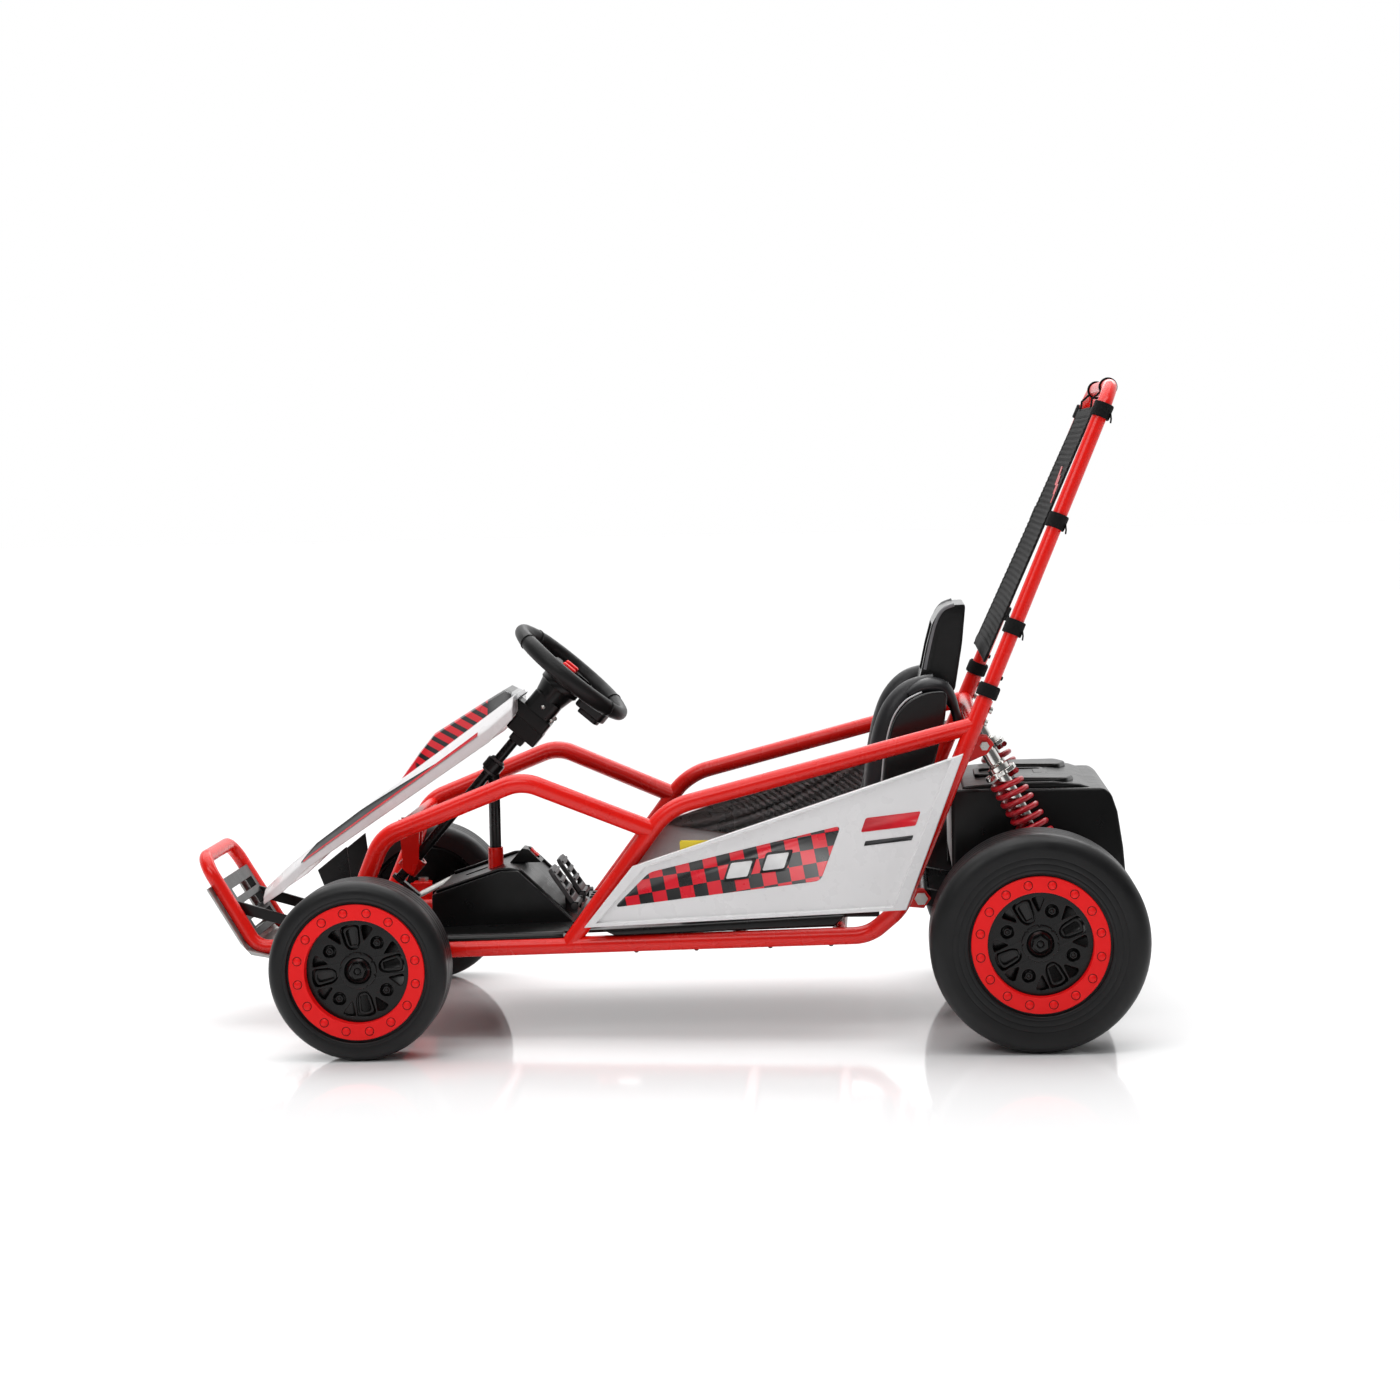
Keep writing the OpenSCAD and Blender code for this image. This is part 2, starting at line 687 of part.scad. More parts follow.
module seat_shell() {
    wing = [[seat_x - 210, seat_z], [seat_x - 215, seat_z + 46], [seat_x - 90, seat_z + 78],
        [seat_x - 44, seat_z + 130], [seat_x + 11, 493], [seat_x + 34, 512], [seat_x + 74, 526],
        [seat_x + 112, 526], [seat_x + 60, seat_z + 60], [seat_x + 20, seat_z]];
    hollow = [[seat_x - 230, seat_z + 8], [seat_x - 12, seat_z + 8], [back_high.x - 28, 540],
        [seat_x - 230, 540]];
    color("#202024") {
        difference() {
            slab(wing, -seat_w / 2, seat_w / 2);
            slab(hollow, -seat_w / 2 + 34, seat_w / 2 - 34);
            // The bolsters are hollow behind
            both() slab([[seat_x + 12, seat_z + 14], [seat_x + 60, seat_z + 70], [seat_x + 98, 500],
                [seat_x + 50, 490], [seat_x + 8, 440], [seat_x - 24, seat_z + 100]],
                seat_w / 2 - 30, seat_w / 2 - 5);
        }
        // Headrest
        difference() {
            slab([[seat_x + 77, 526], [seat_x + 90, 600], [seat_x + 119, 628], [seat_x + 137, 628],
                  [seat_x + 122, 526]], -82, 82);
            slab([[seat_x + 60, 534], [seat_x + 92, 534], [seat_x + 104, 600], [seat_x + 60, 620]], -62, 62);
        }
    }
}

pad_t = 26;

module seat_pads() {
    color("#2b2b2e") {
        slab([[seat_x - 200, seat_z + 8.5], [seat_x - 50, seat_z + 8.5], [seat_x - 50, seat_z + 8 + pad_t],
              [seat_x - 200, seat_z + 8 + pad_t]], -seat_w / 2 + 38, seat_w / 2 - 38);
        slab([[seat_x - 43, seat_z + 20], [seat_x - 13, seat_z + 20], [seat_x + 67, 498],
              [seat_x + 45, 498]], -seat_w / 2 + 38, seat_w / 2 - 38);
    }
}

// ---- tail ----
tail_top = 350;
tail_outline = [[tail_front_x, 205], [tail_front_x, tail_top - 8], [tail_front_x + 12, tail_top],
    [rear_x + 96, tail_top], [rear_x + 122, tail_top - 30], [rear_x + 136, 250], [rear_x + 141, 208],
    [rear_x + 130, 200], [tail_front_x + 8, 200]];
tail_inner = [[tail_front_x + skin, 150], [tail_front_x + skin, tail_top - 10],
    [tail_front_x + 14, tail_top - skin], [rear_x + 94, tail_top - skin],
    [rear_x + 118, tail_top - 32], [rear_x + 132, 250], [rear_x + 137, 150]];

module tail_housing() {
    color("#161618") difference() {
        slab(tail_outline, -tail_w / 2, tail_w / 2);
        slab(tail_inner, -tail_w / 2 + skin, tail_w / 2 - skin);
        // Arches over the axle and the shock absorbers' feet
        crossbar([rear_x + 22, rear_z + 52], 66, -tail_w, tail_w);
        // Room for the swing arm where it comes in at the front
        translate([tail_front_x - 20, -tail_w / 2 + 16, 150]) cube([40, tail_w - 32, 92]);
        // Ventilation slots in the rear wall
        for (z = [236, 256, 276]) translate([rear_x + 90, -90, z]) cube([60, 180, 8]);
    }
}

module tail_lid() {
    color("#1d1d20") difference() {
        slab([[tail_front_x + 14, tail_top + 0.3], [tail_front_x + 20, tail_top + 17],
              [rear_x + 74, tail_top + 19], [rear_x + 94, tail_top + 0.3]],
            -tail_w / 2 + 14, tail_w / 2 - 14);
        slab([[tail_front_x + 18, tail_top - 5], [tail_front_x + 24, tail_top + 13],
              [rear_x + 72, tail_top + 15], [rear_x + 88, tail_top - 5]],
            -tail_w / 2 + 18, tail_w / 2 - 18);
    }
}

// ---- net ----
net_low = 548;
net_high = hoop_top_z - 34;
net_t = 3;

module net() {
    a = leg(net_low);
    b = leg(net_high);
    slope = (b.x - a.x) / (b.z - a.z);
    inset = hr + 6;
    color("#1a1a1c") translate([a.x, 0, a.z]) rotate([0, atan(slope), 0])
        translate([-net_t / 2, 0, 0]) rotate([90, 0, 90]) linear_extrude(net_t)
            polygon([[-a.y + inset, 0], [a.y - inset, 0], [b.y - inset - 16, norm([b.x - a.x, b.z - a.z])],
                [16 + inset - b.y, norm([b.x - a.x, b.z - a.z])]]);
}

module net_straps() {
    color("#141416") both() for (z = [sleeve_top_z + 18, 606, 760, hoop_top_z - hoop_bend_r - 12]) {
        a = leg(z);
        d = unit(leg(z + 50) - leg(z));
        difference() {
            rod_between(a - d * 11, a + d * 11, hr + 4);
            rod_between(a - d * 20, a + d * 20, hr + 0.5);
        }
    }
}

// ---- steering ----
module steering_wheel() {
    rim_r = (swheel_d - swheel_rim) / 2;
    color("#1a1a1b") on_column() {
        rotate_extrude() translate([rim_r, 0]) circle(r = swheel_rim / 2);
        difference() {
            union() {
                translate([0, 0, -16]) cylinder(h = 18, r = 40);
                for (a = [0, 90, -90]) rotate([0, 0, a]) translate([0, -15, -14]) cube([rim_r - 4, 30, 12]);
                translate([46, -20, -30]) cube([34, 40, 20]);
            }
            for (s = [-1, 1]) translate([-6, s * 17, -10]) cylinder(h = 20, r = 8 + gap);
            translate([0, 0, -20]) cylinder(h = 8, r = 16);
        }
    }
}

module steering_hub() {
    color("#161617") difference() {
        union() {
            on_column(58.5) cylinder(h = 42.5, r1 = 22, r2 = 30);
            on_column(98.5) translate([-24, -24, 0]) cube([48, 48, 40.5]);
            on_column(140) translate([-28, -22, 0]) cube([52, 44, 42]);
        }
        on_column(150) cylinder(h = 110, r = col_d / 2 + run);
        on_column(23) cylinder(h = 20, r = 16);
    }
}

module steering_column() {
    color("#19191b") {
        on_column(pitman_t + 6) cylinder(h = pitman_t + 6 - 44, r = col_d / 2);
        // Arm with one stud for both tie rods, held on by a nut
        on_column(pitman_t + 6) {
            cylinder(h = 6, r = 12);
            translate([0, -7, 0]) cube([pitman_arm, 14, 6]);
            translate([pitman_arm, 0, 0]) cylinder(h = 6, r = 7);
        }
        on_column(pitman_t + 30) translate([pitman_arm, 0, 0]) {
            cylinder(h = 25, r = stud_r);
            cylinder(h = 5, r = stud_r + 3, $fn = 6);
        }
    }
}

module thumb_button(s) {
    color("red") on_column() translate([-6, s * 17, -7.5]) {
        cylinder(h = 11, r = 7.5);
        translate([0, 0, 10.9]) cylinder(h = 1.6, r1 = 7.5, r2 = 6.2);
    }
}
module left_button() { thumb_button(-1); }
module right_button() { thumb_button(1); }

module knuckle(side) {
    x = front_x;
    y = side * kingpin_y;
    arm_z = front_z + boss_h / 2 - 8;
    color("#3a3b3e") {
        difference() {
            union() {
                translate([x, y, front_z - boss_h / 2]) cylinder(h = boss_h, r = boss_r);
                at_wheel(x, front_z, side) translate([0, 0, -115])
                    cylinder(h = 115 - hub_in_front - 1, r = stub_d / 2 + 3.5);
                at_wheel(x, front_z, side) translate([0, 0, -115]) cylinder(h = 97, r = stub_d / 2);
                translate([x, y - 7, arm_z]) cube([knuckle_arm, 14, 8]);
                translate([ball.x, y, arm_z]) cylinder(h = 8, r = 9);
            }
            translate([x, y, 0]) cylinder(h = 400, r = kingpin_d / 2 + run);
        }
        translate([ball.x, y, arm_z + 7.5]) cylinder(h = rod_z + 8 - arm_z - 7.5, r = stud_r);
        at_wheel(x, front_z, side) translate([0, 0, -23]) cylinder(h = 6, r = stub_d / 2 + 4, $fn = 6);
    }
}
module left_knuckle() { knuckle(-1); }
module right_knuckle() { knuckle(1); }

// The inner eye lies square to the stud on the column's arm, the outer one level
module tie_rod(side) {
    a = [ball.x, side * ball.y, rod_z];
    t = side < 0 ? eye_t[0] : eye_t[1];
    b = on_stud(t) - eye_set * col_across;
    d = unit(b - a);
    color("silver") difference() {
        union() {
            rod_between(a + d * 5, b - d * 8, 3);
            rod_between(a + d * 14, b - d * 16, 4.5);
            translate(a - [0, 0, 4]) cylinder(h = 8, r = ball_r);
            translate(b) rotate([0, 90 - col_angle, 0]) translate([0, 0, -3]) cylinder(h = 6, r = 9.5);
        }
        translate(a - [0, 0, 20]) cylinder(h = 40, r = stud_r + run);
        translate(b) rotate([0, 90 - col_angle, 0]) translate([0, 0, -10])
            cylinder(h = 20, r = stud_r + 2.3);
    }
}
module left_tie_rod() { tie_rod(-1); }
module right_tie_rod() { tie_rod(1); }

// ---- wheels: drawn from the outer face (z = 0) inwards (negative z) ----
module tyre(d, w) {
    shoulder = min(w * 0.17, (d - bead_d) / 4 + 2);
    hollow_h = (d - bead_d) / 2 + 6 - tyre_wall;
    color("#1f1f21") rotate_extrude($fn = 96) difference() {
        translate([bead_d / 2 - 6, -w]) rounded_square((d - bead_d) / 2 + 6, w, shoulder);
        translate([bead_d / 2 - 6, -w + tyre_wall])
            rounded_square(hollow_h, w - 2 * tyre_wall, min(shoulder * 0.6, hollow_h * 0.4));
        translate([0, -w + 8]) square([bead_d / 2 + 0.2, w - 16]);
        translate([0, -w - 1]) square([bead_d / 2 - 1.5, w + 2]);
        translate([0, -7]) square([bead_d / 2 + 5, 20]);
    }
}

hub_face = 20;
hub_in_front = 80;
hub_in_rear = 100;
ring_in = 77;

module rim(w, bore, hub_in) {
    r = bead_d / 2;
    color("#17171a") difference() {
        union() {
            rotate_extrude() {
                translate([r - 8, -w + 10]) square([8, w - 20]);
                translate([bore + 8, -hub_face - 10]) square([r - bore - 15.5, 10]);
                translate([bore, -hub_in]) square([15, hub_in - hub_face]);
            }
            // Spokes, lug nuts and the raised cap in the middle
            for (a = [0 : 90 : 270]) rotate([0, 0, a]) {
                translate([20, -9, -hub_face - 1]) cube([ring_in - 21.5, 18, 10]);
                rotate([0, 0, 45]) translate([0.52 * r, 0, -hub_face - 1]) cylinder(h = 9, r = 7, $fn = 6);
            }
            translate([0, 0, -hub_face - 2]) cylinder(h = 13, r = 32);
            translate([0, 0, -hub_face + 10.5]) cylinder(h = 5, r = 24);
            translate([0, 0, -hub_face + 15]) cylinder(h = 3, r = 11, $fn = 6);
        }
        translate([0, 0, -w - 30]) cylinder(h = w + 30 - hub_face + 5, r = bore);
        translate([0, 0, -25]) cylinder(h = 10.5, r = stub_d / 2 + 5);
        // Round pockets in the face
        for (a = [22.5 : 45 : 360]) rotate([0, 0, a]) translate([0.66 * r, 0, -hub_face - 6])
            cylinder(h = 20, r = 8);
    }
}

module bead_ring() {
    r_in = ring_in;
    r_out = bead_d / 2 + 4;
    color("red") {
        difference() {
            translate([0, 0, -6.5]) cylinder(h = 4.5, r = r_out);
            translate([0, 0, -10]) cylinder(h = 20, r = r_in);
        }
        difference() {
            translate([0, 0, -hub_face + 1]) cylinder(h = hub_face - 7.4, r = r_in + 4);
            translate([0, 0, -hub_face - 5]) cylinder(h = 40, r = r_in);
        }
        for (a = [0 : 360 / ring_bolts : 359]) rotate([0, 0, a])
            translate([(r_in + r_out) / 2, 0, -2.1]) cylinder(h = 1.9, r1 = 4.4, r2 = 3);
    }
}

stub_r = stub_d / 2;
module front_left_tyre() { at_wheel(front_x, front_z, -1) tyre(front_tyre_d, front_tyre_w); }
module front_right_tyre() { at_wheel(front_x, front_z, 1) tyre(front_tyre_d, front_tyre_w); }
module front_left_rim() { at_wheel(front_x, front_z, -1) rim(front_tyre_w, stub_r + run, hub_in_front); }
module front_right_rim() { at_wheel(front_x, front_z, 1) rim(front_tyre_w, stub_r + run, hub_in_front); }
module front_left_bead_ring() { at_wheel(front_x, front_z, -1) bead_ring(); }
module front_right_bead_ring() { at_wheel(front_x, front_z, 1) bead_ring(); }
module rear_tyres() { for (s = [-1, 1]) at_wheel(rear_x, rear_z, s) tyre(rear_tyre_d, rear_tyre_w); }
module rear_rims() {
    for (s = [-1, 1]) at_wheel(rear_x, rear_z, s) rim(rear_tyre_w, axle_d / 2 + 0.02, hub_in_rear);
}
module rear_bead_rings() { for (s = [-1, 1]) at_wheel(rear_x, rear_z, s) bead_ring(); }

// ---- rear axle, swing arm and drive ----
module rear_axle() {
    color("silver") crossbar([rear_x, rear_z], axle_d / 2, -half_w + 22, half_w - 22);
}

module sprocket_outline(teeth, r) {
    step = 360 / teeth;
    polygon([for (i = [0 : teeth - 1], k = [0, 1, 2, 3])
        let (a = i * step + [0, 0.32, 0.5, 0.82][k] * step, q = r + [-1.6, -1.6, 1.8, 1.8][k])
            q * [cos(a), sin(a)]]);
}

module axle_sprocket() {
    color("#6d6f73") translate([rear_x, chain_y, rear_z]) rotate([90, 0, 0]) difference() {
        union() {
            translate([0, 0, -1.5]) linear_extrude(3) sprocket_outline(axle_teeth, axle_sprocket_r);
            translate([0, 0, -8]) cylinder(h = 16, r = axle_d / 2 + 8);
        }
        translate([0, 0, -20]) cylinder(h = 40, r = axle_d / 2 + 0.02);
        for (a = [0 : 60 : 300]) rotate([0, 0, a]) translate([axle_sprocket_r * 0.68, 0, -5])
            cylinder(h = 10, r = 6);
    }
}

module motor_sprocket() {
    color("#6d6f73") translate([motor_at.x, chain_y, motor_at.y]) rotate([90, 0, 0]) {
        translate([0, 0, -1.5]) linear_extrude(3) sprocket_outline(motor_teeth, motor_sprocket_r);
        translate([0, 0, -6]) cylinder(h = 40, r = shaft_r);
    }
}

// The band between two circles, grown by t
module belt_outline(a, ra, b, rb, t) {
    d = b - a;
    along = unit(d);
    lean = asin((ra - rb) / norm(d));
    out = [for (s = [-1, 1]) [along.x * sin(lean) - s * along.y * cos(lean),
        along.y * sin(lean) + s * along.x * cos(lean)]];
    translate(a) circle(r = ra + t);
    translate(b) circle(r = rb + t);
    polygon([a + out[0] * (ra + t), b + out[0] * (rb + t), b + out[1] * (rb + t), a + out[1] * (ra + t)]);
}

module drive_chain() {
    a = [rear_x, rear_z];
    color("#55565a") for (y = [chain_y - 3.6, chain_y + 2.1])
        translate([0, y + 1.5, 0]) rotate([90, 0, 0]) linear_extrude(1.5) difference() {
            belt_outline(a, axle_sprocket_r, motor_at, motor_sprocket_r, 2.6);
            belt_outline(a, axle_sprocket_r, motor_at, motor_sprocket_r, -2.6);
        }
}

module drive_motor() {
    color("#2c2d30") difference() {
        union() {
            crossbar(motor_at, motor_d / 2, -66, 34);
            crossbar(motor_at, motor_d / 2 - 8, 33, 44);
            crossbar(motor_at, motor_d / 2 - 16, -76, -65);
        }
        crossbar(motor_at, shaft_r + run, 20, 60);
        for (a = [0 : 30 : 330]) translate([motor_at.x, -40, motor_at.y]) rotate([0, a, 0])
            translate([motor_d / 2 - 2.5, 0, -3]) cube([6, 60, 6]);
    }
}

module swing_arm() {
    axle = [rear_x, rear_z];
    d = unit(axle - pivot);
    n = [-d.y, d.x];
    color("#222225") {
        difference() {
            union() {
                crossbar(pivot, 14, -ear_y + 2, ear_y - 2);
                both() {
                    slab([pivot - n * 12, axle - n * 14, axle + n * 14, pivot + n * 12], arm_y, arm_y + 14);
                    crossbar(axle, 27, arm_y - 6, arm_y + 20);
                    slab([axle + [-16, 12], shock_foot - [10, 0], shock_foot + [8, 0], axle + [20, 0]],
                        arm_y, arm_y + 10);
                    crossbar(shock_foot, 9, 0, shock_y - 12);
                    crossbar(shock_foot, shock_bolt_d / 2, shock_y - 13, shock_y + 12);
                }
                slab([motor_at + [-30, -30], motor_at + [30, -34], axle + [-14, 8], pivot + [40, -8]],
                    44.2, 48.2);
                crossbar(pivot + d * 70, 9, -arm_y - 4, arm_y + 4);
                slab([motor_at + [-24, 24], motor_at + [24, 24], motor_at + [34, -34], motor_at + [-34, -34]],
                    44.2, 48.2);
            }
            crossbar(pivot, pivot_bolt_d / 2 + run, -220, 220);
            crossbar(axle, axle_d / 2 + run, -220, 220);
            crossbar(motor_at, 10, 40, 60);
            crossbar(axle, 32, 30, 90);
        }
    }
}

// ---- shock absorbers: drawn hanging down from the origin, then tilted ----
module at_shock() {
    translate([shock_top.x, shock_y, shock_top.y]) rotate([0, -shock_tilt, 0]) children();
}

collar_z = -52;
perch_z = -(shock_len - 40);

module shock_bodies() {
    color("silver") both() difference() {
        at_shock() {
            translate([0, 11, 0]) rotate([90, 0, 0]) cylinder(h = 22, r = 11);
            translate([0, 0, -124]) cylinder(h = 118, r = 9.5);
            translate([0, 0, collar_z]) cylinder(h = 8, r = spring_d / 2 - 2);
            translate([0, 0, collar_z + 8]) cylinder(h = 7, r = 16);
            translate([0, 0, -30]) cylinder(h = 18, r = 10.8);
        }
        at_shock() {
            translate([0, 20, 0]) rotate([90, 0, 0]) cylinder(h = 40, r = shock_bolt_d / 2 + run);
            translate([0, 0, -130]) cylinder(h = 66, r = 5 + run);
            for (a = [0 : 45 : 315]) rotate([0, 0, a]) translate([spring_d / 2 - 2, 0, collar_z - 1])
                cylinder(h = 10, r = 3);
        }
    }
}

module shock_rods() {
    color("silver") both() difference() {
        at_shock() {
            translate([0, 9, -shock_len]) rotate([90, 0, 0]) cylinder(h = 18, r = 11);
            translate([0, 0, -shock_len + 8]) cylinder(h = shock_len - 8 - 88, r = 5);
            translate([0, 0, perch_z - 8]) cylinder(h = 6, r = spring_d / 2 - 2);
            translate([0, 0, -shock_len + 8]) cylinder(h = 26, r = 8);
        }
        at_shock() translate([0, 20, -shock_len]) rotate([90, 0, 0])
            cylinder(h = 40, r = shock_bolt_d / 2 + gap);
    }
}

// A round wire wound from the collar down to the perch
module coil(turns, top, bottom, r, wire) {
    steps = 18;
    sides = 7;
    n = turns * steps;
    ring = [for (i = [0 : n], k = [0 : sides - 1]) let (a = i * 360 / steps, b = k * 360 / sides)
        [(r + wire * cos(b)) * cos(a), (r + wire * cos(b)) * sin(a),
         top + (bottom - top) * i / n + wire * sin(b)]];
    walls = [for (i = [0 : n - 1], k = [0 : sides - 1]) let (k2 = (k + 1) % sides)
        [i * sides + k, i * sides + k2, (i + 1) * sides + k2, (i + 1) * sides + k]];
    first_end = [for (k = [sides - 1 : -1 : 0]) k];
    last_end = [for (k = [0 : sides - 1]) n * sides + k];
    polyhedron(ring, concat(walls, [first_end, last_end]));
}

module coil_springs() {
    w = wire_d / 2;
    color("red") both() at_shock()
        coil(spring_turns, collar_z - w - gap, perch_z - 2 + w + gap, spring_d / 2 - w, w);
}

// ---- pedals ----
module pedal(y) {
    color("#2a2a2c") translate([pedal_hinge.x, y, pedal_hinge.y]) rotate([0, pedal_rest - 90, 0]) {
        difference() {
            union() {
                translate([-3.5, -pedal_w / 2, 6]) cube([7, pedal_w, 84]);
                rotate([90, 0, 0]) translate([0, 0, -pedal_w / 2]) cylinder(h = pedal_w, r = 6.5);
                for (z = [22 : 12 : 82]) translate([2, -pedal_w / 2 + 6, z]) cube([4, pedal_w - 12, 5]);
            }
            for (z = [34 : 24 : 70]) translate([-10, -14, z]) cube([30, 28, 4]);
        }
        translate([0, pedal_w / 2 + 7.2, 0]) rotate([90, 0, 0]) cylinder(h = pedal_w + 14.4, r = 3);
    }
}
module accelerator_pedal() { pedal(pedal_y); }
module brake_pedal() { pedal(-pedal_y); }

lower_rails();
side_rails();
front_arches();
hoop_sleeves();
roll_hoop();
cross_tubes();
front_beam();
frame_brackets();
frame_bolts();
column_bushes();
support_post();
bumper_loop();
bumper_insert();
skid_plate();
nose_fairing();
fairing_bracket();
left_side_panel();
right_side_panel();
sill_covers();
floor_pan();
footrest();
switch_pod();
seat_shell();
seat_pads();
battery_box();
battery();
tail_housing();
tail_lid();
net();
net_straps();
steering_wheel();
steering_hub();
steering_column();
left_button();
right_button();
left_knuckle();
right_knuckle();
left_tie_rod();
right_tie_rod();
front_left_tyre();
front_left_rim();
front_left_bead_ring();
front_right_tyre();
front_right_rim();
front_right_bead_ring();
rear_axle();
rear_tyres();
rear_rims();
rear_bead_rings();
axle_sprocket();
swing_arm();
drive_motor();
drive_chain();
motor_sprocket();
shock_bodies();
shock_rods();
coil_springs();
accelerator_pedal();
brake_pedal();
direction_rocker();
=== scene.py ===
import json
import math

import bmesh
import bpy
from mathutils import Matrix, Vector


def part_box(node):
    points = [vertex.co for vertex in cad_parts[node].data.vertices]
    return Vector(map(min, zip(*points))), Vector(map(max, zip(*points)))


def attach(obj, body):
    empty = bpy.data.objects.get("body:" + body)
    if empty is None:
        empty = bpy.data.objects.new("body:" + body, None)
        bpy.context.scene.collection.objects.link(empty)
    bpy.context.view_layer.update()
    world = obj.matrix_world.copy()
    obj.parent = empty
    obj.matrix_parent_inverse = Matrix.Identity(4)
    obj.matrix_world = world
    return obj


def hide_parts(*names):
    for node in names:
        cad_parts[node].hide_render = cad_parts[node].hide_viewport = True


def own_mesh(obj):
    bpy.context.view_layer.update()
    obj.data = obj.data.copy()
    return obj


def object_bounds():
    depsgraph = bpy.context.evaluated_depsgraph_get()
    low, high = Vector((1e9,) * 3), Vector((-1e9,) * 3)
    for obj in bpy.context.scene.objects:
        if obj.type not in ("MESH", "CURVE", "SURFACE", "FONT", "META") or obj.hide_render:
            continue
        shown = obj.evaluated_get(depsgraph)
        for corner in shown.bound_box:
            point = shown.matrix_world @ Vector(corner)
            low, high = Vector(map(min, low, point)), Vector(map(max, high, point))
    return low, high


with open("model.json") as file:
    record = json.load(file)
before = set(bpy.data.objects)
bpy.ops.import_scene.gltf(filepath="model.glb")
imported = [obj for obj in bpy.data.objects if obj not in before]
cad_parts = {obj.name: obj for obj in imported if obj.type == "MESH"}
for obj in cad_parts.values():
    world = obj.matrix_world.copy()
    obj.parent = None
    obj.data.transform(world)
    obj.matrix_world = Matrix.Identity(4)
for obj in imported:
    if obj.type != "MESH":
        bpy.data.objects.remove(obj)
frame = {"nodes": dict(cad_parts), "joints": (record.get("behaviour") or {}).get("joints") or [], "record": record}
cad_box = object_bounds()
nodes = frame["nodes"]
joints = {j["name"]: j for j in frame["joints"]}
slot_of = {s["node"]: s["material_slot"] for s in frame["record"]["subparts"]}
mounts = {m["name"]: m for m in frame["record"]["mounts"]}
mm = 0.001


# ---- camera, lights and floor ----
def make_camera():
    """Stands at the kart's left side, a little above the seat, and looks slightly forward and down."""
    yaw, pitch, roll = math.radians(3.32), math.radians(4.42), math.radians(-1.2)
    stand = Vector((0.339, -4.843, 0.863))
    forward = Vector((-math.sin(yaw) * math.cos(pitch), math.cos(yaw) * math.cos(pitch), -math.sin(pitch)))
    level = Vector((math.cos(yaw), math.sin(yaw), 0))
    upright = level.cross(forward)
    right = math.cos(roll) * level + math.sin(roll) * upright
    up = math.cos(roll) * upright - math.sin(roll) * level
    camera = bpy.data.objects.new("camera", bpy.data.cameras.new("camera"))
    camera.matrix_world = Matrix((
        (right.x, up.x, -forward.x, stand.x),
        (right.y, up.y, -forward.y, stand.y),
        (right.z, up.z, -forward.z, stand.z),
        (0, 0, 0, 1)))
    camera.data.lens = 80.33
    camera.data.sensor_width = 36
    bpy.context.scene.collection.objects.link(camera)
    bpy.context.scene.camera = camera


def soft_light(name, place, target, size, power):
    light = bpy.data.lights.new(name, "AREA")
    light.shape = "RECTANGLE"
    light.size, light.size_y = size
    light.energy = power
    holder = bpy.data.objects.new(name, light)
    holder.location = place
    holder.rotation_euler = (Vector(target) - Vector(place)).to_track_quat("-Z", "Y").to_euler()
    bpy.context.scene.collection.objects.link(holder)


def make_studio():
    """A white wall behind the kart, a dimmer room in front of it and soft light from above."""
    bpy.context.scene.view_settings.view_transform = "Standard"
    world = bpy.data.worlds.new("studio")
    bpy.context.scene.world = world
    world.use_nodes = True
    tree = world.node_tree
    background = tree.nodes["Background"]
    background.inputs["Color"].default_value = (1, 1, 1, 1)
    place = tree.nodes.new("ShaderNodeTexCoord")
    split = tree.nodes.new("ShaderNodeSeparateXYZ")
    fade = tree.nodes.new("ShaderNodeMapRange")
    fade.interpolation_type = "SMOOTHSTEP"
    fade.inputs["From Min"].default_value = -0.35
    fade.inputs["From Max"].default_value = 0.55
    fade.inputs["To Min"].default_value = 0.13
    fade.inputs["To Max"].default_value = 1.0
    tree.links.new(place.outputs["Generated"], split.inputs["Vector"])
    tree.links.new(split.outputs["Y"], fade.inputs["Value"])
    tree.links.new(fade.outputs["Result"], background.inputs["Strength"])
    sun = bpy.data.lights.new("ceiling_light", "SUN")
    sun.energy = 2.1
    sun.angle = math.radians(70)
    holder = bpy.data.objects.new("ceiling_light", sun)
    holder.rotation_euler = (math.radians(-14), math.radians(-8), 0)
    bpy.context.scene.collection.objects.link(holder)
    soft_light("key_light", (-1.2, -3.0, 2.6), (0, 0, 0.35), (2.6, 1.2), 34)
    soft_light("strip_light", (0.5, -1.2, 3.0), (0.1, 0, 0.4), (3.4, 0.5), 26)
    soft_light("back_light", (0.8, 2.6, 2.2), (0.2, 0, 0.4), (2.6, 0.8), 22)
    bpy.ops.mesh.primitive_plane_add(size=60, location=(0, 0, cad_box[0][2] - 0.0005))
    floor = bpy.context.object
    floor.name = "floor"
    floor.data.materials.append(new_material("floor", (0.95, 0.95, 0.955), 0.06, specular=0.35))


# ---- materials: colour variation, roughness and bump come from nodes ----
def new_material(name, colour, rough, metal=0.0, coat=0.0, sheen=0.0, specular=0.5):
    material = bpy.data.materials.new(name)
    material.use_nodes = True
    shader = material.node_tree.nodes["Principled BSDF"]
    shader.inputs["Base Color"].default_value = (*colour, 1)
    shader.inputs["Roughness"].default_value = rough
    shader.inputs["Metallic"].default_value = metal
    shader.inputs["Coat Weight"].default_value = coat
    shader.inputs["Coat Roughness"].default_value = 0.12
    shader.inputs["Sheen Weight"].default_value = sheen
    shader.inputs["Specular IOR Level"].default_value = specular
    return material


def texture(material, kind, scale, **settings):
    """A texture node fed by object coordinates, so it stays on its piece in every pose."""
    tree = material.node_tree
    place = tree.nodes.get("Texture Coordinate") or tree.nodes.new("ShaderNodeTexCoord")
    node = tree.nodes.new(kind)
    node.inputs["Scale"].default_value = scale
    for name, value in settings.items():
        node.inputs[name.replace("_", " ")].default_value = value
    tree.links.new(place.outputs["Object"], node.inputs["Vector"])
    return node


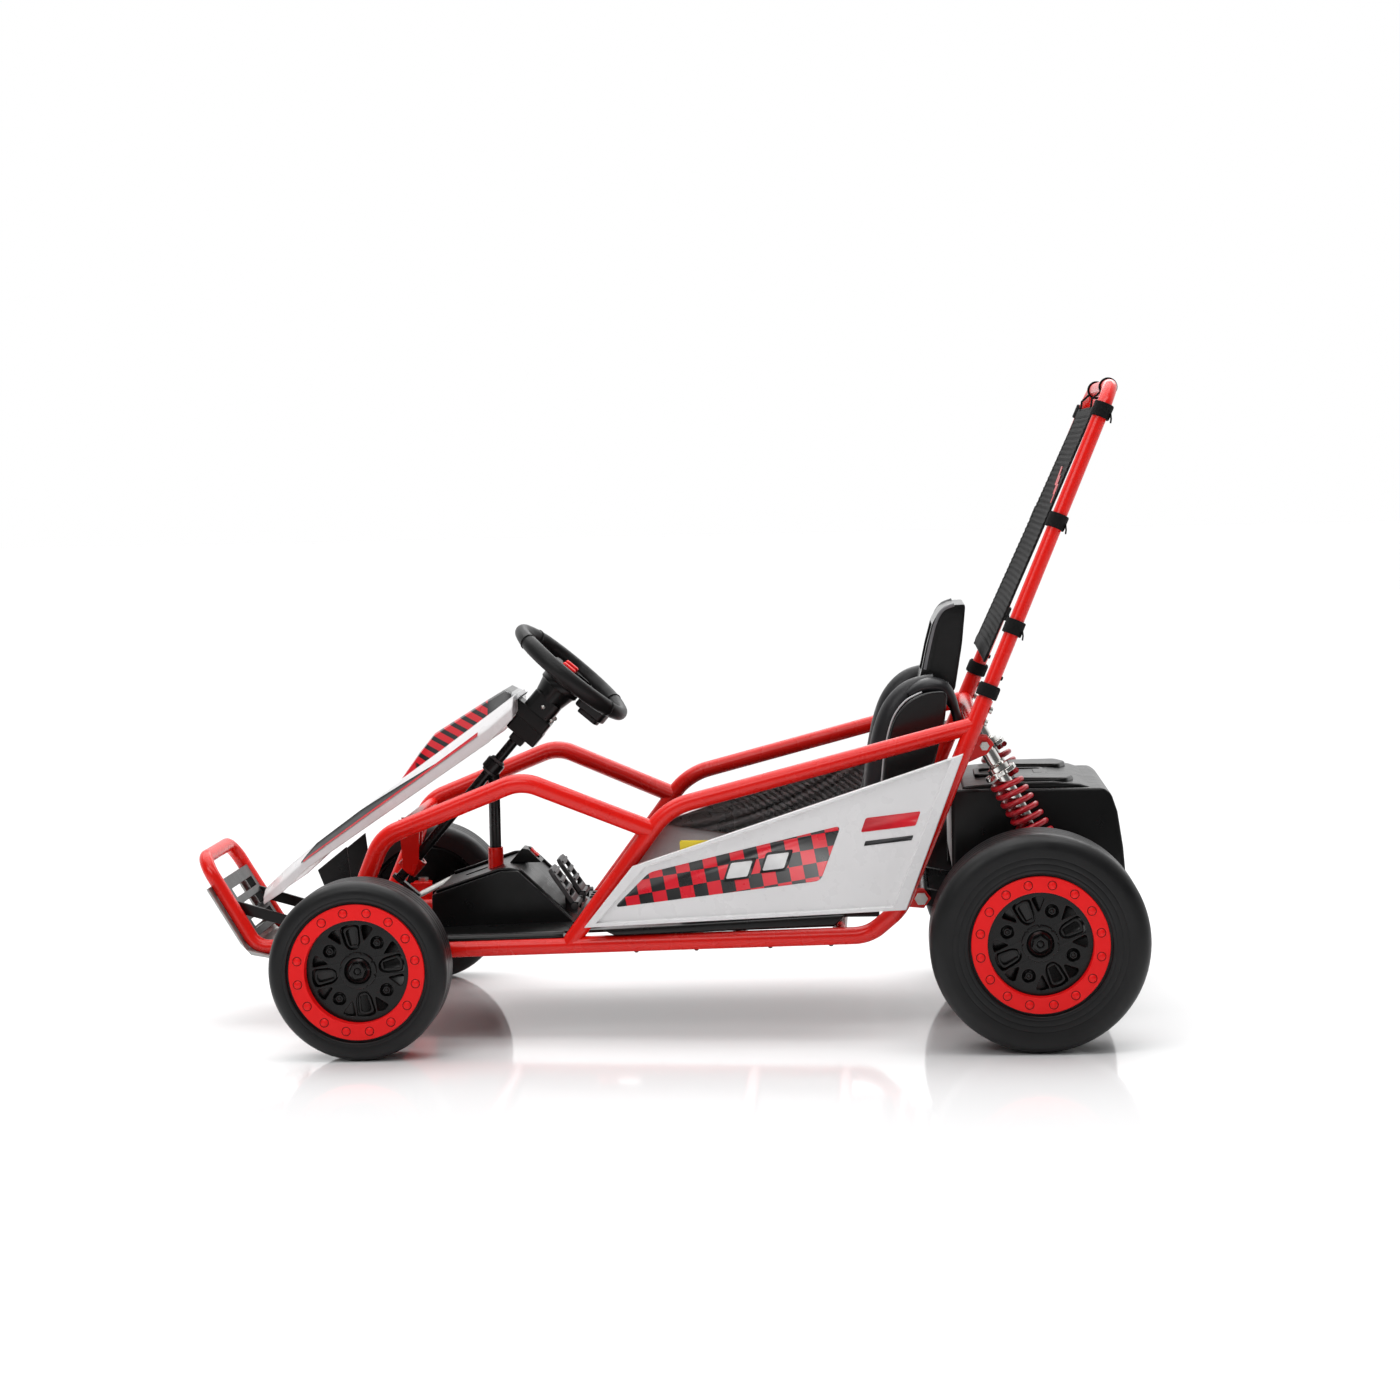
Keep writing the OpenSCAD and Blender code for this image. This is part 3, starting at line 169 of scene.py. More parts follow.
def ramp(material, source, low, high, start=0.3, end=0.7):
    node = material.node_tree.nodes.new("ShaderNodeMapRange")
    node.inputs["From Min"].default_value = start
    node.inputs["From Max"].default_value = end
    node.inputs["To Min"].default_value = low
    node.inputs["To Max"].default_value = high
    material.node_tree.links.new(source, node.inputs["Value"])
    return node.outputs["Result"]


def mix_colours(material, factor, first, second):
    node = material.node_tree.nodes.new("ShaderNodeMix")
    node.data_type = "RGBA"
    material.node_tree.links.new(factor, node.inputs[0])
    for socket, value in ((node.inputs[6], first), (node.inputs[7], second)):
        if isinstance(value, bpy.types.NodeSocket):
            material.node_tree.links.new(value, socket)
        else:
            socket.default_value = (*value, 1)
    return node.outputs[2]


def shader_input(material, name, source):
    material.node_tree.links.new(source, material.node_tree.nodes["Principled BSDF"].inputs[name])


def vary_colour(material, scale, first, second, detail=4):
    noise = texture(material, "ShaderNodeTexNoise", scale, Detail=detail)
    shader_input(material, "Base Color",
                 mix_colours(material, ramp(material, noise.outputs["Fac"], 0, 1), first, second))


def vary_roughness(material, scale, low, high):
    noise = texture(material, "ShaderNodeTexNoise", scale, Detail=3)
    shader_input(material, "Roughness", ramp(material, noise.outputs["Fac"], low, high))


def add_bump(material, height, distance, strength=0.6):
    tree = material.node_tree
    node = tree.nodes.new("ShaderNodeBump")
    node.inputs["Distance"].default_value = distance
    node.inputs["Strength"].default_value = strength
    tree.links.new(height, node.inputs["Height"])
    earlier = tree.nodes["Principled BSDF"].inputs["Normal"]
    if earlier.links:
        tree.links.new(earlier.links[0].from_socket, node.inputs["Normal"])
    tree.links.new(node.outputs["Normal"], earlier)


def grain(material, scale, distance, strength=0.6):
    """Fine rounded pebbles, as on moulded plastic and synthetic leather."""
    cells = texture(material, "ShaderNodeTexVoronoi", scale)
    add_bump(material, cells.outputs["Distance"], distance, strength)


def ripple(material, scale, distance, strength=0.4):
    noise = texture(material, "ShaderNodeTexNoise", scale, Detail=2)
    add_bump(material, noise.outputs["Fac"], distance, strength)


def gloss_paint():
    m = new_material("red_powder_coat", (0.76, 0.008, 0.004), 0.27, coat=0.12, specular=0.34)
    vary_colour(m, 9, (0.745, 0.0075, 0.0035), (0.775, 0.0095, 0.005), 1)
    vary_roughness(m, 30, 0.25, 0.29)
    ripple(m, 700, 0.00006, 0.25)
    return m


def red_plastic():
    m = new_material("red_plastic", (0.84, 0.006, 0.008), 0.40, specular=0.25)
    vary_colour(m, 12, (0.82, 0.005, 0.006), (0.86, 0.008, 0.009), 2)
    vary_roughness(m, 30, 0.34, 0.44)
    ripple(m, 260, 0.00010, 0.3)
    return m


def metal(name, colour, rough, grain_scale=220):
    m = new_material(name, colour, rough, metal=1.0)
    darker = tuple(c * 0.82 for c in colour)
    vary_colour(m, 60, darker, colour)
    vary_roughness(m, grain_scale, rough * 0.75, rough * 1.3)
    ripple(m, grain_scale * 4, 0.00004, 0.3)
    return m


def dark_plastic(name, shade, rough, pebble=1500, depth=0.00007, coat=0.0, specular=0.26):
    m = new_material(name, (shade, shade, shade * 1.04), rough, coat=coat, specular=specular)
    vary_colour(m, 12, (shade * 0.85,) * 3, (shade * 1.15, shade * 1.15, shade * 1.2), 2)
    vary_roughness(m, 40, rough - 0.03, rough + 0.04)
    if pebble:
        grain(m, pebble, depth)
    return m


def white_plastic():
    m = new_material("white_plastic", (0.80, 0.80, 0.81), 0.27, coat=0.3)
    vary_colour(m, 6, (0.745, 0.735, 0.74), (0.765, 0.755, 0.76), 1)
    vary_roughness(m, 40, 0.26, 0.30)
    grain(m, 1400, 0.00002, 0.25)
    return m


def silver_plastic():
    m = new_material("silver_plastic", (0.46, 0.46, 0.45), 0.36, metal=0.55)
    vary_colour(m, 12, (0.40, 0.40, 0.39), (0.52, 0.52, 0.50))
    vary_roughness(m, 50, 0.30, 0.42)
    grain(m, 1800, 0.00003, 0.4)
    return m


def leather():
    m = new_material("seat_leather", (0.009, 0.009, 0.010), 0.40, coat=0.05, specular=0.34)
    vary_colour(m, 10, (0.007, 0.007, 0.008), (0.012, 0.012, 0.014))
    vary_roughness(m, 60, 0.32, 0.48)
    creases = texture(m, "ShaderNodeTexVoronoi", 420)
    creases.feature = "DISTANCE_TO_EDGE"
    add_bump(m, ramp(m, creases.outputs["Distance"], 0, 1, 0.0, 0.12), 0.00012, 0.5)
    ripple(m, 60, 0.0003, 0.15)
    return m


def woven(name, shade, pitch, sheen=0.25):
    """Two crossed bands of threads, for webbing and net."""
    m = new_material(name, (shade, shade, shade), 0.82, sheen=sheen, specular=0.2)
    threads = []
    for axis in ("X", "Z"):
        wave = texture(m, "ShaderNodeTexWave", 1 / pitch, Distortion=0.6, Detail=1)
        wave.bands_direction = axis
        threads.append(wave.outputs["Fac"])
    both = m.node_tree.nodes.new("ShaderNodeMath")
    both.operation = "MAXIMUM"
    m.node_tree.links.new(threads[0], both.inputs[0])
    m.node_tree.links.new(threads[1], both.inputs[1])
    # Darker in the valleys between threads and lighter on the thread tops: painted shade and painted highlight of
    # the weave.
    shader_input(m, "Base Color", mix_colours(
        m, both.outputs[0], (shade * 0.3,) * 3, (shade * 1.3, shade * 1.3, shade * 1.35)))
    vary_roughness(m, 300, 0.72, 0.92)
    add_bump(m, both.outputs[0], 0.0005, 0.8)
    return m


def tyre_rubber():
    m = new_material("tyre", (0.006, 0.006, 0.0065), 0.40, specular=0.30)
    vary_colour(m, 16, (0.005, 0.005, 0.0055), (0.008, 0.008, 0.0085))
    vary_roughness(m, 30, 0.36, 0.50)
    ripple(m, 700, 0.00010, 0.5)
    return m


def checker():
    """Red and black squares that lie level on the side panel."""
    m = new_material("checker_print", (0.7, 0.01, 0.02), 0.3, coat=0.2)
    squares = texture(m, "ShaderNodeTexChecker", 1 / (20.6 * mm))
    turn = m.node_tree.nodes.new("ShaderNodeMapping")
    turn.inputs["Rotation"].default_value = (0, math.radians(10), 0)
    turn.inputs["Location"].default_value = (0.004, 5.0, 0.003)
    m.node_tree.links.new(m.node_tree.nodes["Texture Coordinate"].outputs["Object"], turn.inputs["Vector"])
    flat = m.node_tree.nodes.new("ShaderNodeVectorMath")
    flat.operation = "MULTIPLY"
    flat.inputs[1].default_value = (1, 0.0001, 1)
    m.node_tree.links.new(turn.outputs["Vector"], flat.inputs[0])
    m.node_tree.links.new(flat.outputs["Vector"], squares.inputs["Vector"])
    scuffs = texture(m, "ShaderNodeTexNoise", 40, Detail=5)
    red = mix_colours(m, scuffs.outputs["Fac"], (0.66, 0.008, 0.020), (0.76, 0.012, 0.030))
    black = mix_colours(m, scuffs.outputs["Fac"], (0.010, 0.010, 0.011), (0.022, 0.022, 0.023))
    shader_input(m, "Base Color", mix_colours(m, squares.outputs["Fac"], red, black))
    vary_roughness(m, 30, 0.25, 0.36)
    return m


def hood_print(black_from, white_from):
    """Red with slanted black bars, then a black block and a grey end, along the hood."""
    m = new_material("hood_print", (0.7, 0.01, 0.02), 0.3, coat=0.2)
    tree = m.node_tree
    bars = texture(m, "ShaderNodeTexWave", 19)
    bars.bands_direction = "X"
    lean = tree.nodes.new("ShaderNodeMapping")
    lean.inputs["Rotation"].default_value = (0, math.radians(62), 0)
    tree.links.new(tree.nodes["Texture Coordinate"].outputs["Object"], lean.inputs["Vector"])
    tree.links.new(lean.outputs["Vector"], bars.inputs["Vector"])
    noise = texture(m, "ShaderNodeTexNoise", 40, Detail=4)
    red = mix_colours(m, noise.outputs["Fac"], (0.62, 0.006, 0.016), (0.74, 0.012, 0.026))
    black = mix_colours(m, noise.outputs["Fac"], (0.007, 0.007, 0.008), (0.014, 0.014, 0.015))
    grey = mix_colours(m, noise.outputs["Fac"], (0.34, 0.34, 0.35), (0.44, 0.44, 0.45))
    striped = mix_colours(m, ramp(m, bars.outputs["Fac"], 0, 1, 0.60, 0.68), red, black)
    split = tree.nodes.new("ShaderNodeSeparateXYZ")
    tree.links.new(tree.nodes["Texture Coordinate"].outputs["Object"], split.inputs["Vector"])
    along = split.outputs["X"]
    plain = mix_colours(m, ramp(m, along, 0, 1, black_from - 0.116, black_from - 0.112), red, striped)
    blocked = mix_colours(m, ramp(m, along, 0, 1, black_from - 0.0005, black_from), plain, black)
    shader_input(m, "Base Color", mix_colours(
        m, ramp(m, along, 0, 1, white_from - 0.0005, white_from), blocked, grey))
    vary_roughness(m, 30, 0.25, 0.36)
    return m


def print_ink(name, colour):
    m = new_material(name, colour, 0.32, coat=0.2)
    vary_colour(m, 25, tuple(c * 0.9 for c in colour), tuple(min(1, c * 1.08) for c in colour))
    vary_roughness(m, 45, 0.27, 0.38)
    return m


materials = {
    "red_frame": gloss_paint(),
    "zinc_fasteners": metal("zinc", (0.62, 0.61, 0.58), 0.34),
    "nylon": dark_plastic("nylon", 0.10, 0.55, 900),
    "black_steel": dark_plastic("black_steel", 0.006, 0.28, 0, coat=0.1),
    "black_plastic": dark_plastic("black_plastic", 0.005, 0.30, 1600, 0.00004, coat=0.05),
    "silver_plastic": silver_plastic(),
    "white_plastic": white_plastic(),
    "seat_plastic": dark_plastic("seat_plastic", 0.008, 0.22, 0, coat=0.2),
    "seat_padding": leather(),
    "battery_case": dark_plastic("battery_case", 0.045, 0.5, 1200),
    "net_fabric": woven("net_fabric", 0.006, 0.0022, 0.0),
    "grip": dark_plastic("grip", 0.007, 0.42, 620, 0.00018),
    "red_plastic": red_plastic(),
    "tyre": tyre_rubber(),
    "rim_plastic": dark_plastic("rim_plastic", 0.004, 0.24, 1900, 0.00002, coat=0.1),
    "motor_case": dark_plastic("motor_case", 0.022, 0.36, 0, coat=0.1),
    "drive_steel": metal("drive_steel", (0.30, 0.30, 0.31), 0.36),
    "shock_chrome": metal("shock_chrome", (0.78, 0.77, 0.74), 0.14, 120),
}
spring_coat = print_ink("spring_coat", (0.50, 0.006, 0.016))
# Lighter grey for the headrest's rounded border: painted highlight, standing for the sheen on that rim of the same
# black plastic.
border_sheen_grey = print_ink("border_sheen_grey", (0.16, 0.16, 0.17))
grey_pedal = dark_plastic("pedal_plastic", 0.05, 0.38, 1500, 0.00004)
piping_material = print_ink("light_piping", (0.55, 0.55, 0.56))
black_ink = print_ink("black_print", (0.014, 0.014, 0.015))
red_ink = print_ink("red_print", (0.68, 0.010, 0.022))
white_ink = print_ink("white_print", (0.80, 0.80, 0.80))
yellow_ink = print_ink("yellow_print", (0.86, 0.66, 0.02))
checker_ink = checker()


# ---- mesh helpers ----
class Shape:
    """Gathers points and faces, in metres, and becomes one piece."""

    def __init__(self):
        self.points = []
        self.faces = []

    def add(self, points, faces, place=None):
        first = len(self.points)
        self.points += [place @ Vector(p) if place else Vector(p) for p in points]
        self.faces += [[first + i for i in face] for face in faces]

    def lathe(self, outline, place, sides=48, closed=True):
        """Turns an outline of (radius, height) around the Z axis of place."""
        points = [(r * math.cos(a), r * math.sin(a), z)
                  for a in (2 * math.pi * k / sides for k in range(sides)) for r, z in outline]
        n = len(outline)
        faces = [[k * n + i, ((k + 1) % sides) * n + i, ((k + 1) % sides) * n + (i + 1) % n,
                  k * n + (i + 1) % n]
                 for k in range(sides) for i in range(n if closed else n - 1)]
        self.add(points, faces, place)

    def prism(self, outline, low, high, place=None):
        """Pulls a flat outline of (x, y) along Z, from low to high."""
        n = len(outline)
        points = [(x, y, low) for x, y in outline] + [(x, y, high) for x, y in outline]
        faces = [list(range(n))[::-1], list(range(n, 2 * n))]
        faces += [[i, (i + 1) % n, n + (i + 1) % n, n + i] for i in range(n)]
        self.add(points, faces, place)

    def pipe(self, path, radius, sides=10, closed=False, squash=1.0, up=Vector((0, 0, 1))):
        """A tube along the path. radius is a number or a function of the share of the way."""
        count = len(path)
        points = []
        for i, p in enumerate(path):
            a = path[i - 1] if i or closed else path[0]
            b = path[(i + 1) % count] if i < count - 1 or closed else path[-1]
            along = (Vector(b) - Vector(a)).normalized()
            side = along.cross(up)
            side = side.normalized() if side.length > 1e-6 else Vector((1, 0, 0))
            top = side.cross(along)
            r = radius(i / (count - 1)) if callable(radius) else radius
            points += [Vector(p) + r * (math.cos(a) * side + squash * math.sin(a) * top)
                       for a in (2 * math.pi * k / sides for k in range(sides))]
        faces = [[i * sides + k, i * sides + (k + 1) % sides,
                  ((i + 1) % count) * sides + (k + 1) % sides, ((i + 1) % count) * sides + k]
                 for i in range(count if closed else count - 1) for k in range(sides)]
        if not closed:
            faces += [list(range(sides))[::-1], [(count - 1) * sides + k for k in range(sides)]]
        self.add(points, faces)

    def piece(self, name, body, slot, replaced=(), bevel=0.0, angle=32, material=None, levels=0):
        mesh = bpy.data.meshes.new(name)
        mesh.from_pydata(self.points, [], self.faces)
        obj = bpy.data.objects.new(name, mesh)
        bpy.context.scene.collection.objects.link(obj)
        return finish_piece(obj, body, slot, replaced, bevel, angle, material, levels)


def clean(mesh):
    tidy = bmesh.new()
    tidy.from_mesh(mesh)
    bmesh.ops.remove_doubles(tidy, verts=tidy.verts, dist=1e-6)
    bmesh.ops.dissolve_degenerate(tidy, edges=tidy.edges, dist=1e-6)
    bmesh.ops.recalc_face_normals(tidy, faces=tidy.faces)
    tidy.to_mesh(mesh)
    tidy.free()


def bake_modifiers(obj):
    bpy.context.view_layer.update()
    evaluated = obj.evaluated_get(bpy.context.evaluated_depsgraph_get())
    mesh = bpy.data.meshes.new_from_object(evaluated)
    obj.modifiers.clear()
    obj.data = mesh


def finish_piece(obj, body, slot, replaced=(), bevel=0.0, angle=32, material=None, levels=0):
    clean(obj.data)
    for polygon in obj.data.polygons:
        polygon.use_smooth = True
    if levels:
        smooth = obj.modifiers.new("smooth", "SUBSURF")
        smooth.levels = smooth.render_levels = levels
    if bevel:
        edge = obj.modifiers.new("edge", "BEVEL")
        edge.width = bevel
        edge.segments = 3
        edge.limit_method = "ANGLE"
        edge.angle_limit = math.radians(angle)
        edge.use_clamp_overlap = True
    if not levels:
        weight = obj.modifiers.new("weight", "WEIGHTED_NORMAL")
        weight.keep_sharp = True
    bake_modifiers(obj)
    if not levels and not bevel:
        split_sharp(obj.data, angle)
    obj.data.materials.clear()
    obj.data.materials.append(material or materials[slot])
    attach(obj, body)
    if replaced:
        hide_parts(*replaced)
    return obj


def split_sharp(mesh, angle):
    """Marks the edges that turn by more than the angle, so they stay crisp."""
    work = bmesh.new()
    work.from_mesh(mesh)
    for edge in work.edges:
        if len(edge.link_faces) == 2 and edge.calc_face_angle(0) > math.radians(angle):
            edge.smooth = False
    work.to_mesh(mesh)
    work.free()


def soften(node, body, bevel, name=None, angle=35):
    """A copy of a CAD node with rounded edges, which stands for it."""
    mesh = nodes[node].data.copy()
    work = bmesh.new()
    work.from_mesh(mesh)
    bmesh.ops.remove_doubles(work, verts=work.verts, dist=2e-6)
    bmesh.ops.dissolve_limit(work, angle_limit=math.radians(1.0), verts=work.verts, edges=work.edges)
    work.to_mesh(mesh)
    work.free()
    obj = bpy.data.objects.new(name or node + "_shell", mesh)
    bpy.context.scene.collection.objects.link(obj)
    return finish_piece(obj, body, slot_of[node], (node,), bevel, angle)


def cut(obj, *cutters):
    """Takes the cutter shapes away from a piece."""
    for i, shape in enumerate(cutters):
        mesh = bpy.data.meshes.new("cutter")
        mesh.from_pydata(shape.points, [], shape.faces)
        clean(mesh)
        tool = bpy.data.objects.new("cutter", mesh)
        bpy.context.scene.collection.objects.link(tool)
        step = obj.modifiers.new("cut", "BOOLEAN")
        step.operation = "DIFFERENCE"
        step.solver = "EXACT"
        step.object = tool
        bake_modifiers(obj)
        bpy.data.objects.remove(tool)


def rounded(points, radius, steps=5):
    """An outline with its corners rounded off."""
    out = []
    n = len(points)
    for i in range(n):
        a, p, b = Vector(points[i - 1]), Vector(points[i]), Vector(points[(i + 1) % n])
        back, ahead = (a - p), (b - p)
        r = min(radius, back.length * 0.45, ahead.length * 0.45)
        start, end = p + back.normalized() * r, p + ahead.normalized() * r
        for k in range(steps + 1):
            t = k / steps
            out.append(tuple((1 - t) ** 2 * start + 2 * t * (1 - t) * p + t * t * end))
    return out


def rounded_box(x0, y0, x1, y1, radius, steps=5):
    return rounded([(x0, y0), (x1, y0), (x1, y1), (x0, y1)], radius, steps)


def circle(radius, sides=32, centre=(0, 0), start=0.0):
    return [(centre[0] + radius * math.cos(start + 2 * math.pi * k / sides),
             centre[1] + radius * math.sin(start + 2 * math.pi * k / sides)) for k in range(sides)]


def turned(points, degrees, shift=(0, 0)):
    c, s = math.cos(math.radians(degrees)), math.sin(math.radians(degrees))
    return [(shift[0] + x * c - y * s, shift[1] + x * s + y * c) for x, y in points]


def plate(outline, holes, depth, bevel, place):
    """A flat plate with holes and rounded edges: (points, faces) in metres, its front at z = 0."""
    curve = bpy.data.curves.new("plate", "CURVE")
    curve.dimensions = "2D"
    curve.fill_mode = "BOTH"
    curve.extrude = depth / 2 - bevel
    curve.bevel_depth = bevel
    curve.bevel_resolution = 2
    curve.offset = -bevel
    for loop in [outline, *holes]:
        spline = curve.splines.new("POLY")
        spline.points.add(len(loop) - 1)
        for point, (x, y) in zip(spline.points, loop):
            point.co = (x, y, 0, 1)
        spline.use_cyclic_u = True
    obj = bpy.data.objects.new("plate", curve)
    bpy.context.scene.collection.objects.link(obj)
    bpy.context.view_layer.update()
    mesh = bpy.data.meshes.new_from_object(obj.evaluated_get(bpy.context.evaluated_depsgraph_get()))
    points = [Vector((v.co.x, v.co.y, v.co.z - depth / 2)) for v in mesh.vertices]
    faces = [list(p.vertices) for p in mesh.polygons]
    bpy.data.objects.remove(obj)
    return [place @ p for p in points], faces


def side_points(node, side):
    """The corners of the half of a CAD node that lies on one side of the kart."""
    inside = [v.co for v in nodes[node].data.vertices if v.co.y * side > 0]
    low = Vector([min(p[i] for p in inside) for i in range(3)])
    high = Vector([max(p[i] for p in inside) for i in range(3)])
    return low, high


def slab(shape, outline, y0, y1):
    """A side view outline of (x, z) pulled out across the kart."""
    place = Matrix(((1, 0, 0, 0), (0, 0, -1, y1), (0, 1, 0, 0), (0, 0, 0, 1)))
    shape.prism(outline, 0, y1 - y0, place)


def slab_piece(name, body, slot, outline, y0, y1, bevel, replaced=(), material=None, angle=25):
    shape = Shape()
    slab(shape, outline, y0, y1)
    return shape.piece(name, body, slot, replaced, bevel, angle, material)


# ---- wheels ----
def wheel_place(node, side):
    """The wheel's own frame: Z points outwards and the origin is at its outer face."""
    low, high = side_points(node, side)
    centre = Vector(((low.x + high.x) / 2, low.y if side < 0 else high.y, (low.z + high.z) / 2))
    place = Matrix(((1, 0, 0, centre.x), (0, 0, side, centre.y), (0, -side, 0, centre.z), (0, 0, 0, 1)))
    return place, (high.z - low.z) / 2, high.y - low.y


def arc(centre_r, centre_z, radius, start, end, steps):
    return [(centre_r + radius * math.cos(math.radians(start + (end - start) * k / steps)),
             centre_z + radius * math.sin(math.radians(start + (end - start) * k / steps)))
            for k in range(steps + 1)]


def tyre(name, body, node, side, seat_r):
    place, radius, width = wheel_place(node, side)
    shoulder = width * 0.19
    recess = seat_r + 5 * mm
    outline = [(recess, -7 * mm), (recess + 0.4 * mm, -1.6 * mm), (recess + 1.6 * mm, -0.3 * mm)]
    rib_r = recess + 5 * mm
    while rib_r < radius - shoulder - 6 * mm:
        outline += [(rib_r, 0), (rib_r + 0.5 * mm, -0.7 * mm), (rib_r + 1.6 * mm, -0.7 * mm),
                    (rib_r + 2.1 * mm, 0)]
        rib_r += 8.5 * mm
    outline += arc(radius - shoulder, -shoulder, shoulder, 90, 4, 12)
    groove = width * 0.16
    for z in (-width / 2 + groove, -width / 2, -width / 2 - groove):
        outline += [(radius, z + 1.6 * mm), (radius - 0.9 * mm, z + 0.8 * mm),
                    (radius - 0.9 * mm, z - 0.8 * mm), (radius, z - 1.6 * mm)]
    outline += arc(radius - shoulder, -width + shoulder, shoulder, -4, -90, 12)
    outline += [(recess + 6 * mm, -width), (seat_r - 1 * mm, -width + 1 * mm),
                (seat_r - 1 * mm, -width + 8 * mm),
                (seat_r + 0.3 * mm, -width + 9 * mm), (seat_r + 0.3 * mm, -9 * mm),
                (seat_r + 1 * mm, -7 * mm)]
    shape = Shape()
    shape.lathe(outline, place, 144)
    return shape.piece(name, body, "tyre", (node,), angle=60)


def bead_ring(name, body, node, tyre_node, side, bolts=16):
    place, _, _ = wheel_place(tyre_node, side)
    low, high = side_points(node, side)
    outer = (high.z - low.z) / 2
    inner = outer - 26 * mm
    outer -= 2.5 * mm
    back, front = -6.5 * mm, -1.9 * mm
    soft = 1.4 * mm
    outline = [(inner, -19 * mm), (inner + 4 * mm, -19 * mm), (inner + 4 * mm, back), (outer, back)]
    outline += arc(outer - soft, front - soft, soft, 0, 90, 4)
    outline += arc(inner + soft, front - soft, soft, 90, 180, 4)
    shape = Shape()
    shape.lathe(outline, place, 144)
    middle = (inner + outer) / 2
    head = [(0, 2.6 * mm), (2.6 * mm, 2.4 * mm), (4.4 * mm, 1.7 * mm), (5.6 * mm, 0.6 * mm),
            (5.9 * mm, -0.8 * mm)]
    # Each bolt head gets a thin dark ring that stands for the shade in the groove round it: painted shade, not a
    # cut groove.
    groove_shade_ring = Shape()
    for k in range(bolts):
        turn = Matrix.Rotation(2 * math.pi * (k + 0.5) / bolts, 4, "Z")
        spot = place @ turn @ Matrix.Translation((middle, 0, front))
        shape.lathe(head, spot, 24, closed=False)
        groove_shade_ring.lathe(arc(6.3 * mm, 0, 0.42 * mm, 0, 324, 9), spot, 28)
    groove_shade_ring.piece(name + "_gaps", body, "rim_plastic", angle=80)
    return shape.piece(name, body, "red_plastic", (node,), angle=50)


def window(centre_r, angle):
    """A rounded triangle that points at the hub."""
    return turned(rounded([(centre_r - 13 * mm, 0), (centre_r + 8 * mm, -9.5 * mm),
                           (centre_r + 10.5 * mm, 0), (centre_r + 8 * mm, 9.5 * mm)], 3.2 * mm), angle)


def pocket(inset, angle):
    """A U shape, round towards the hub."""
    outline = [(66 * mm - inset, -14 * mm + inset), (69 * mm - inset, 0),
               (66 * mm - inset, 14 * mm - inset),
               (40 * mm, 11.5 * mm - inset), (31 * mm + inset, 5 * mm), (31 * mm + inset, -5 * mm),
               (40 * mm, -11.5 * mm + inset)]
    return turned(rounded(outline, 5 * mm), angle)


def rim(name, body, node, tyre_node, side, twist, seat_r):
    place, _, width = wheel_place(tyre_node, side)
    place = place @ Matrix.Rotation(math.radians(twist), 4, "Z")
    low, high = side_points(node, side)
    hub_back = -(high.y - low.y) - 10 * mm
    face = -20 * mm
    shape = Shape()
    barrel_in = seat_r - 8 * mm
    shape.lathe([(seat_r, -10 * mm), (seat_r, -width + 10 * mm), (seat_r - 2 * mm, -width + 10 * mm),
                 (barrel_in, -width + 16 * mm), (barrel_in, -14 * mm), (seat_r - 3 * mm, -10 * mm)], place,
                96)
    windows = [window(58 * mm, 45 * k + 22.5) for k in range(8)]
    lugs = [circle(9.5 * mm, 28, turned([(50 * mm, 0)], 90 * k + 45)[0]) for k in range(4)]
    pockets = [pocket(0, 90 * k) for k in range(4)]
    front = place @ Matrix.Translation((0, 0, face))
    shape.add(*plate(circle(barrel_in + 1 * mm, 96), windows + lugs + pockets, 5 * mm, 1.1 * mm, front))
    for k in range(4):
        step = place @ Matrix.Translation((0, 0, face - 3.2 * mm))
        shape.add(*plate(pocket(2.6 * mm, 90 * k), [pocket(6.4 * mm, 90 * k)], 4 * mm, 0.8 * mm, step))
        x, y = turned([(50 * mm, 0)], 90 * k + 45)[0]
        shape.lathe([(8.8 * mm, -5.5 * mm), (8.8 * mm, -4.2 * mm), (6.8 * mm, -3.4 * mm),
                     (6.8 * mm, -5.5 * mm)],
                    front @ Matrix.Translation((x, y, 0)), 28)
        nut = front @ Matrix.Translation((x, y, 0))
        shape.add(*plate(circle(6.1 * mm, 6), [circle(2.9 * mm, 20)], 5.2 * mm, 0.7 * mm,
                         nut @ Matrix.Translation((0, 0, 0.6 * mm))))
        shape.lathe([(0, 1.6 * mm), (2.2 * mm, 1.5 * mm), (2.8 * mm, 0.9 * mm), (2.8 * mm, -4 * mm)],
                    nut, 20, closed=False)
    shape.lathe([(0, face - 6.5 * mm), (barrel_in + 2 * mm, face - 6.5 * mm),
                 (barrel_in + 2 * mm, face - 10 * mm),
                 (0, face - 10 * mm)], place, 72, closed=False)
    notched = []
    for k in range(8):
        notched += turned([(26 * mm, -8.2 * mm), (27.2 * mm, 0), (26 * mm, 8.2 * mm),
                           (22.8 * mm, 9.1 * mm)], 45 * k)
    cap = place @ Matrix.Translation((0, 0, face + 3.5 * mm))
    shape.add(*plate(notched, [circle(19.5 * mm, 40)], 9 * mm, 1.2 * mm, cap))
    shape.lathe([(19.6 * mm, 0), (18.4 * mm, 2.4 * mm), (14.5 * mm, 4.6 * mm), (13.6 * mm, 3.6 * mm),
                 (0, 3.6 * mm)],
                place @ Matrix.Translation((0, 0, face)), 48, closed=False)
    shape.add(*plate(circle(12.2 * mm, 6), [circle(5.2 * mm, 24)], 5 * mm, 1.0 * mm,
                     place @ Matrix.Translation((0, 0, face + 7.6 * mm))))
    shape.lathe([(0, 6.4 * mm), (4 * mm, 6.1 * mm), (5 * mm, 5.0 * mm), (5 * mm, 2 * mm)],
                place @ Matrix.Translation((0, 0, face)), 24, closed=False)
    shape.lathe([(15 * mm, face - 9 * mm), (22 * mm, face - 9 * mm), (20 * mm, hub_back),
                 (15 * mm, hub_back)],
                place, 40)
    return shape.piece(name, body, "rim_plastic", (node,), angle=40)


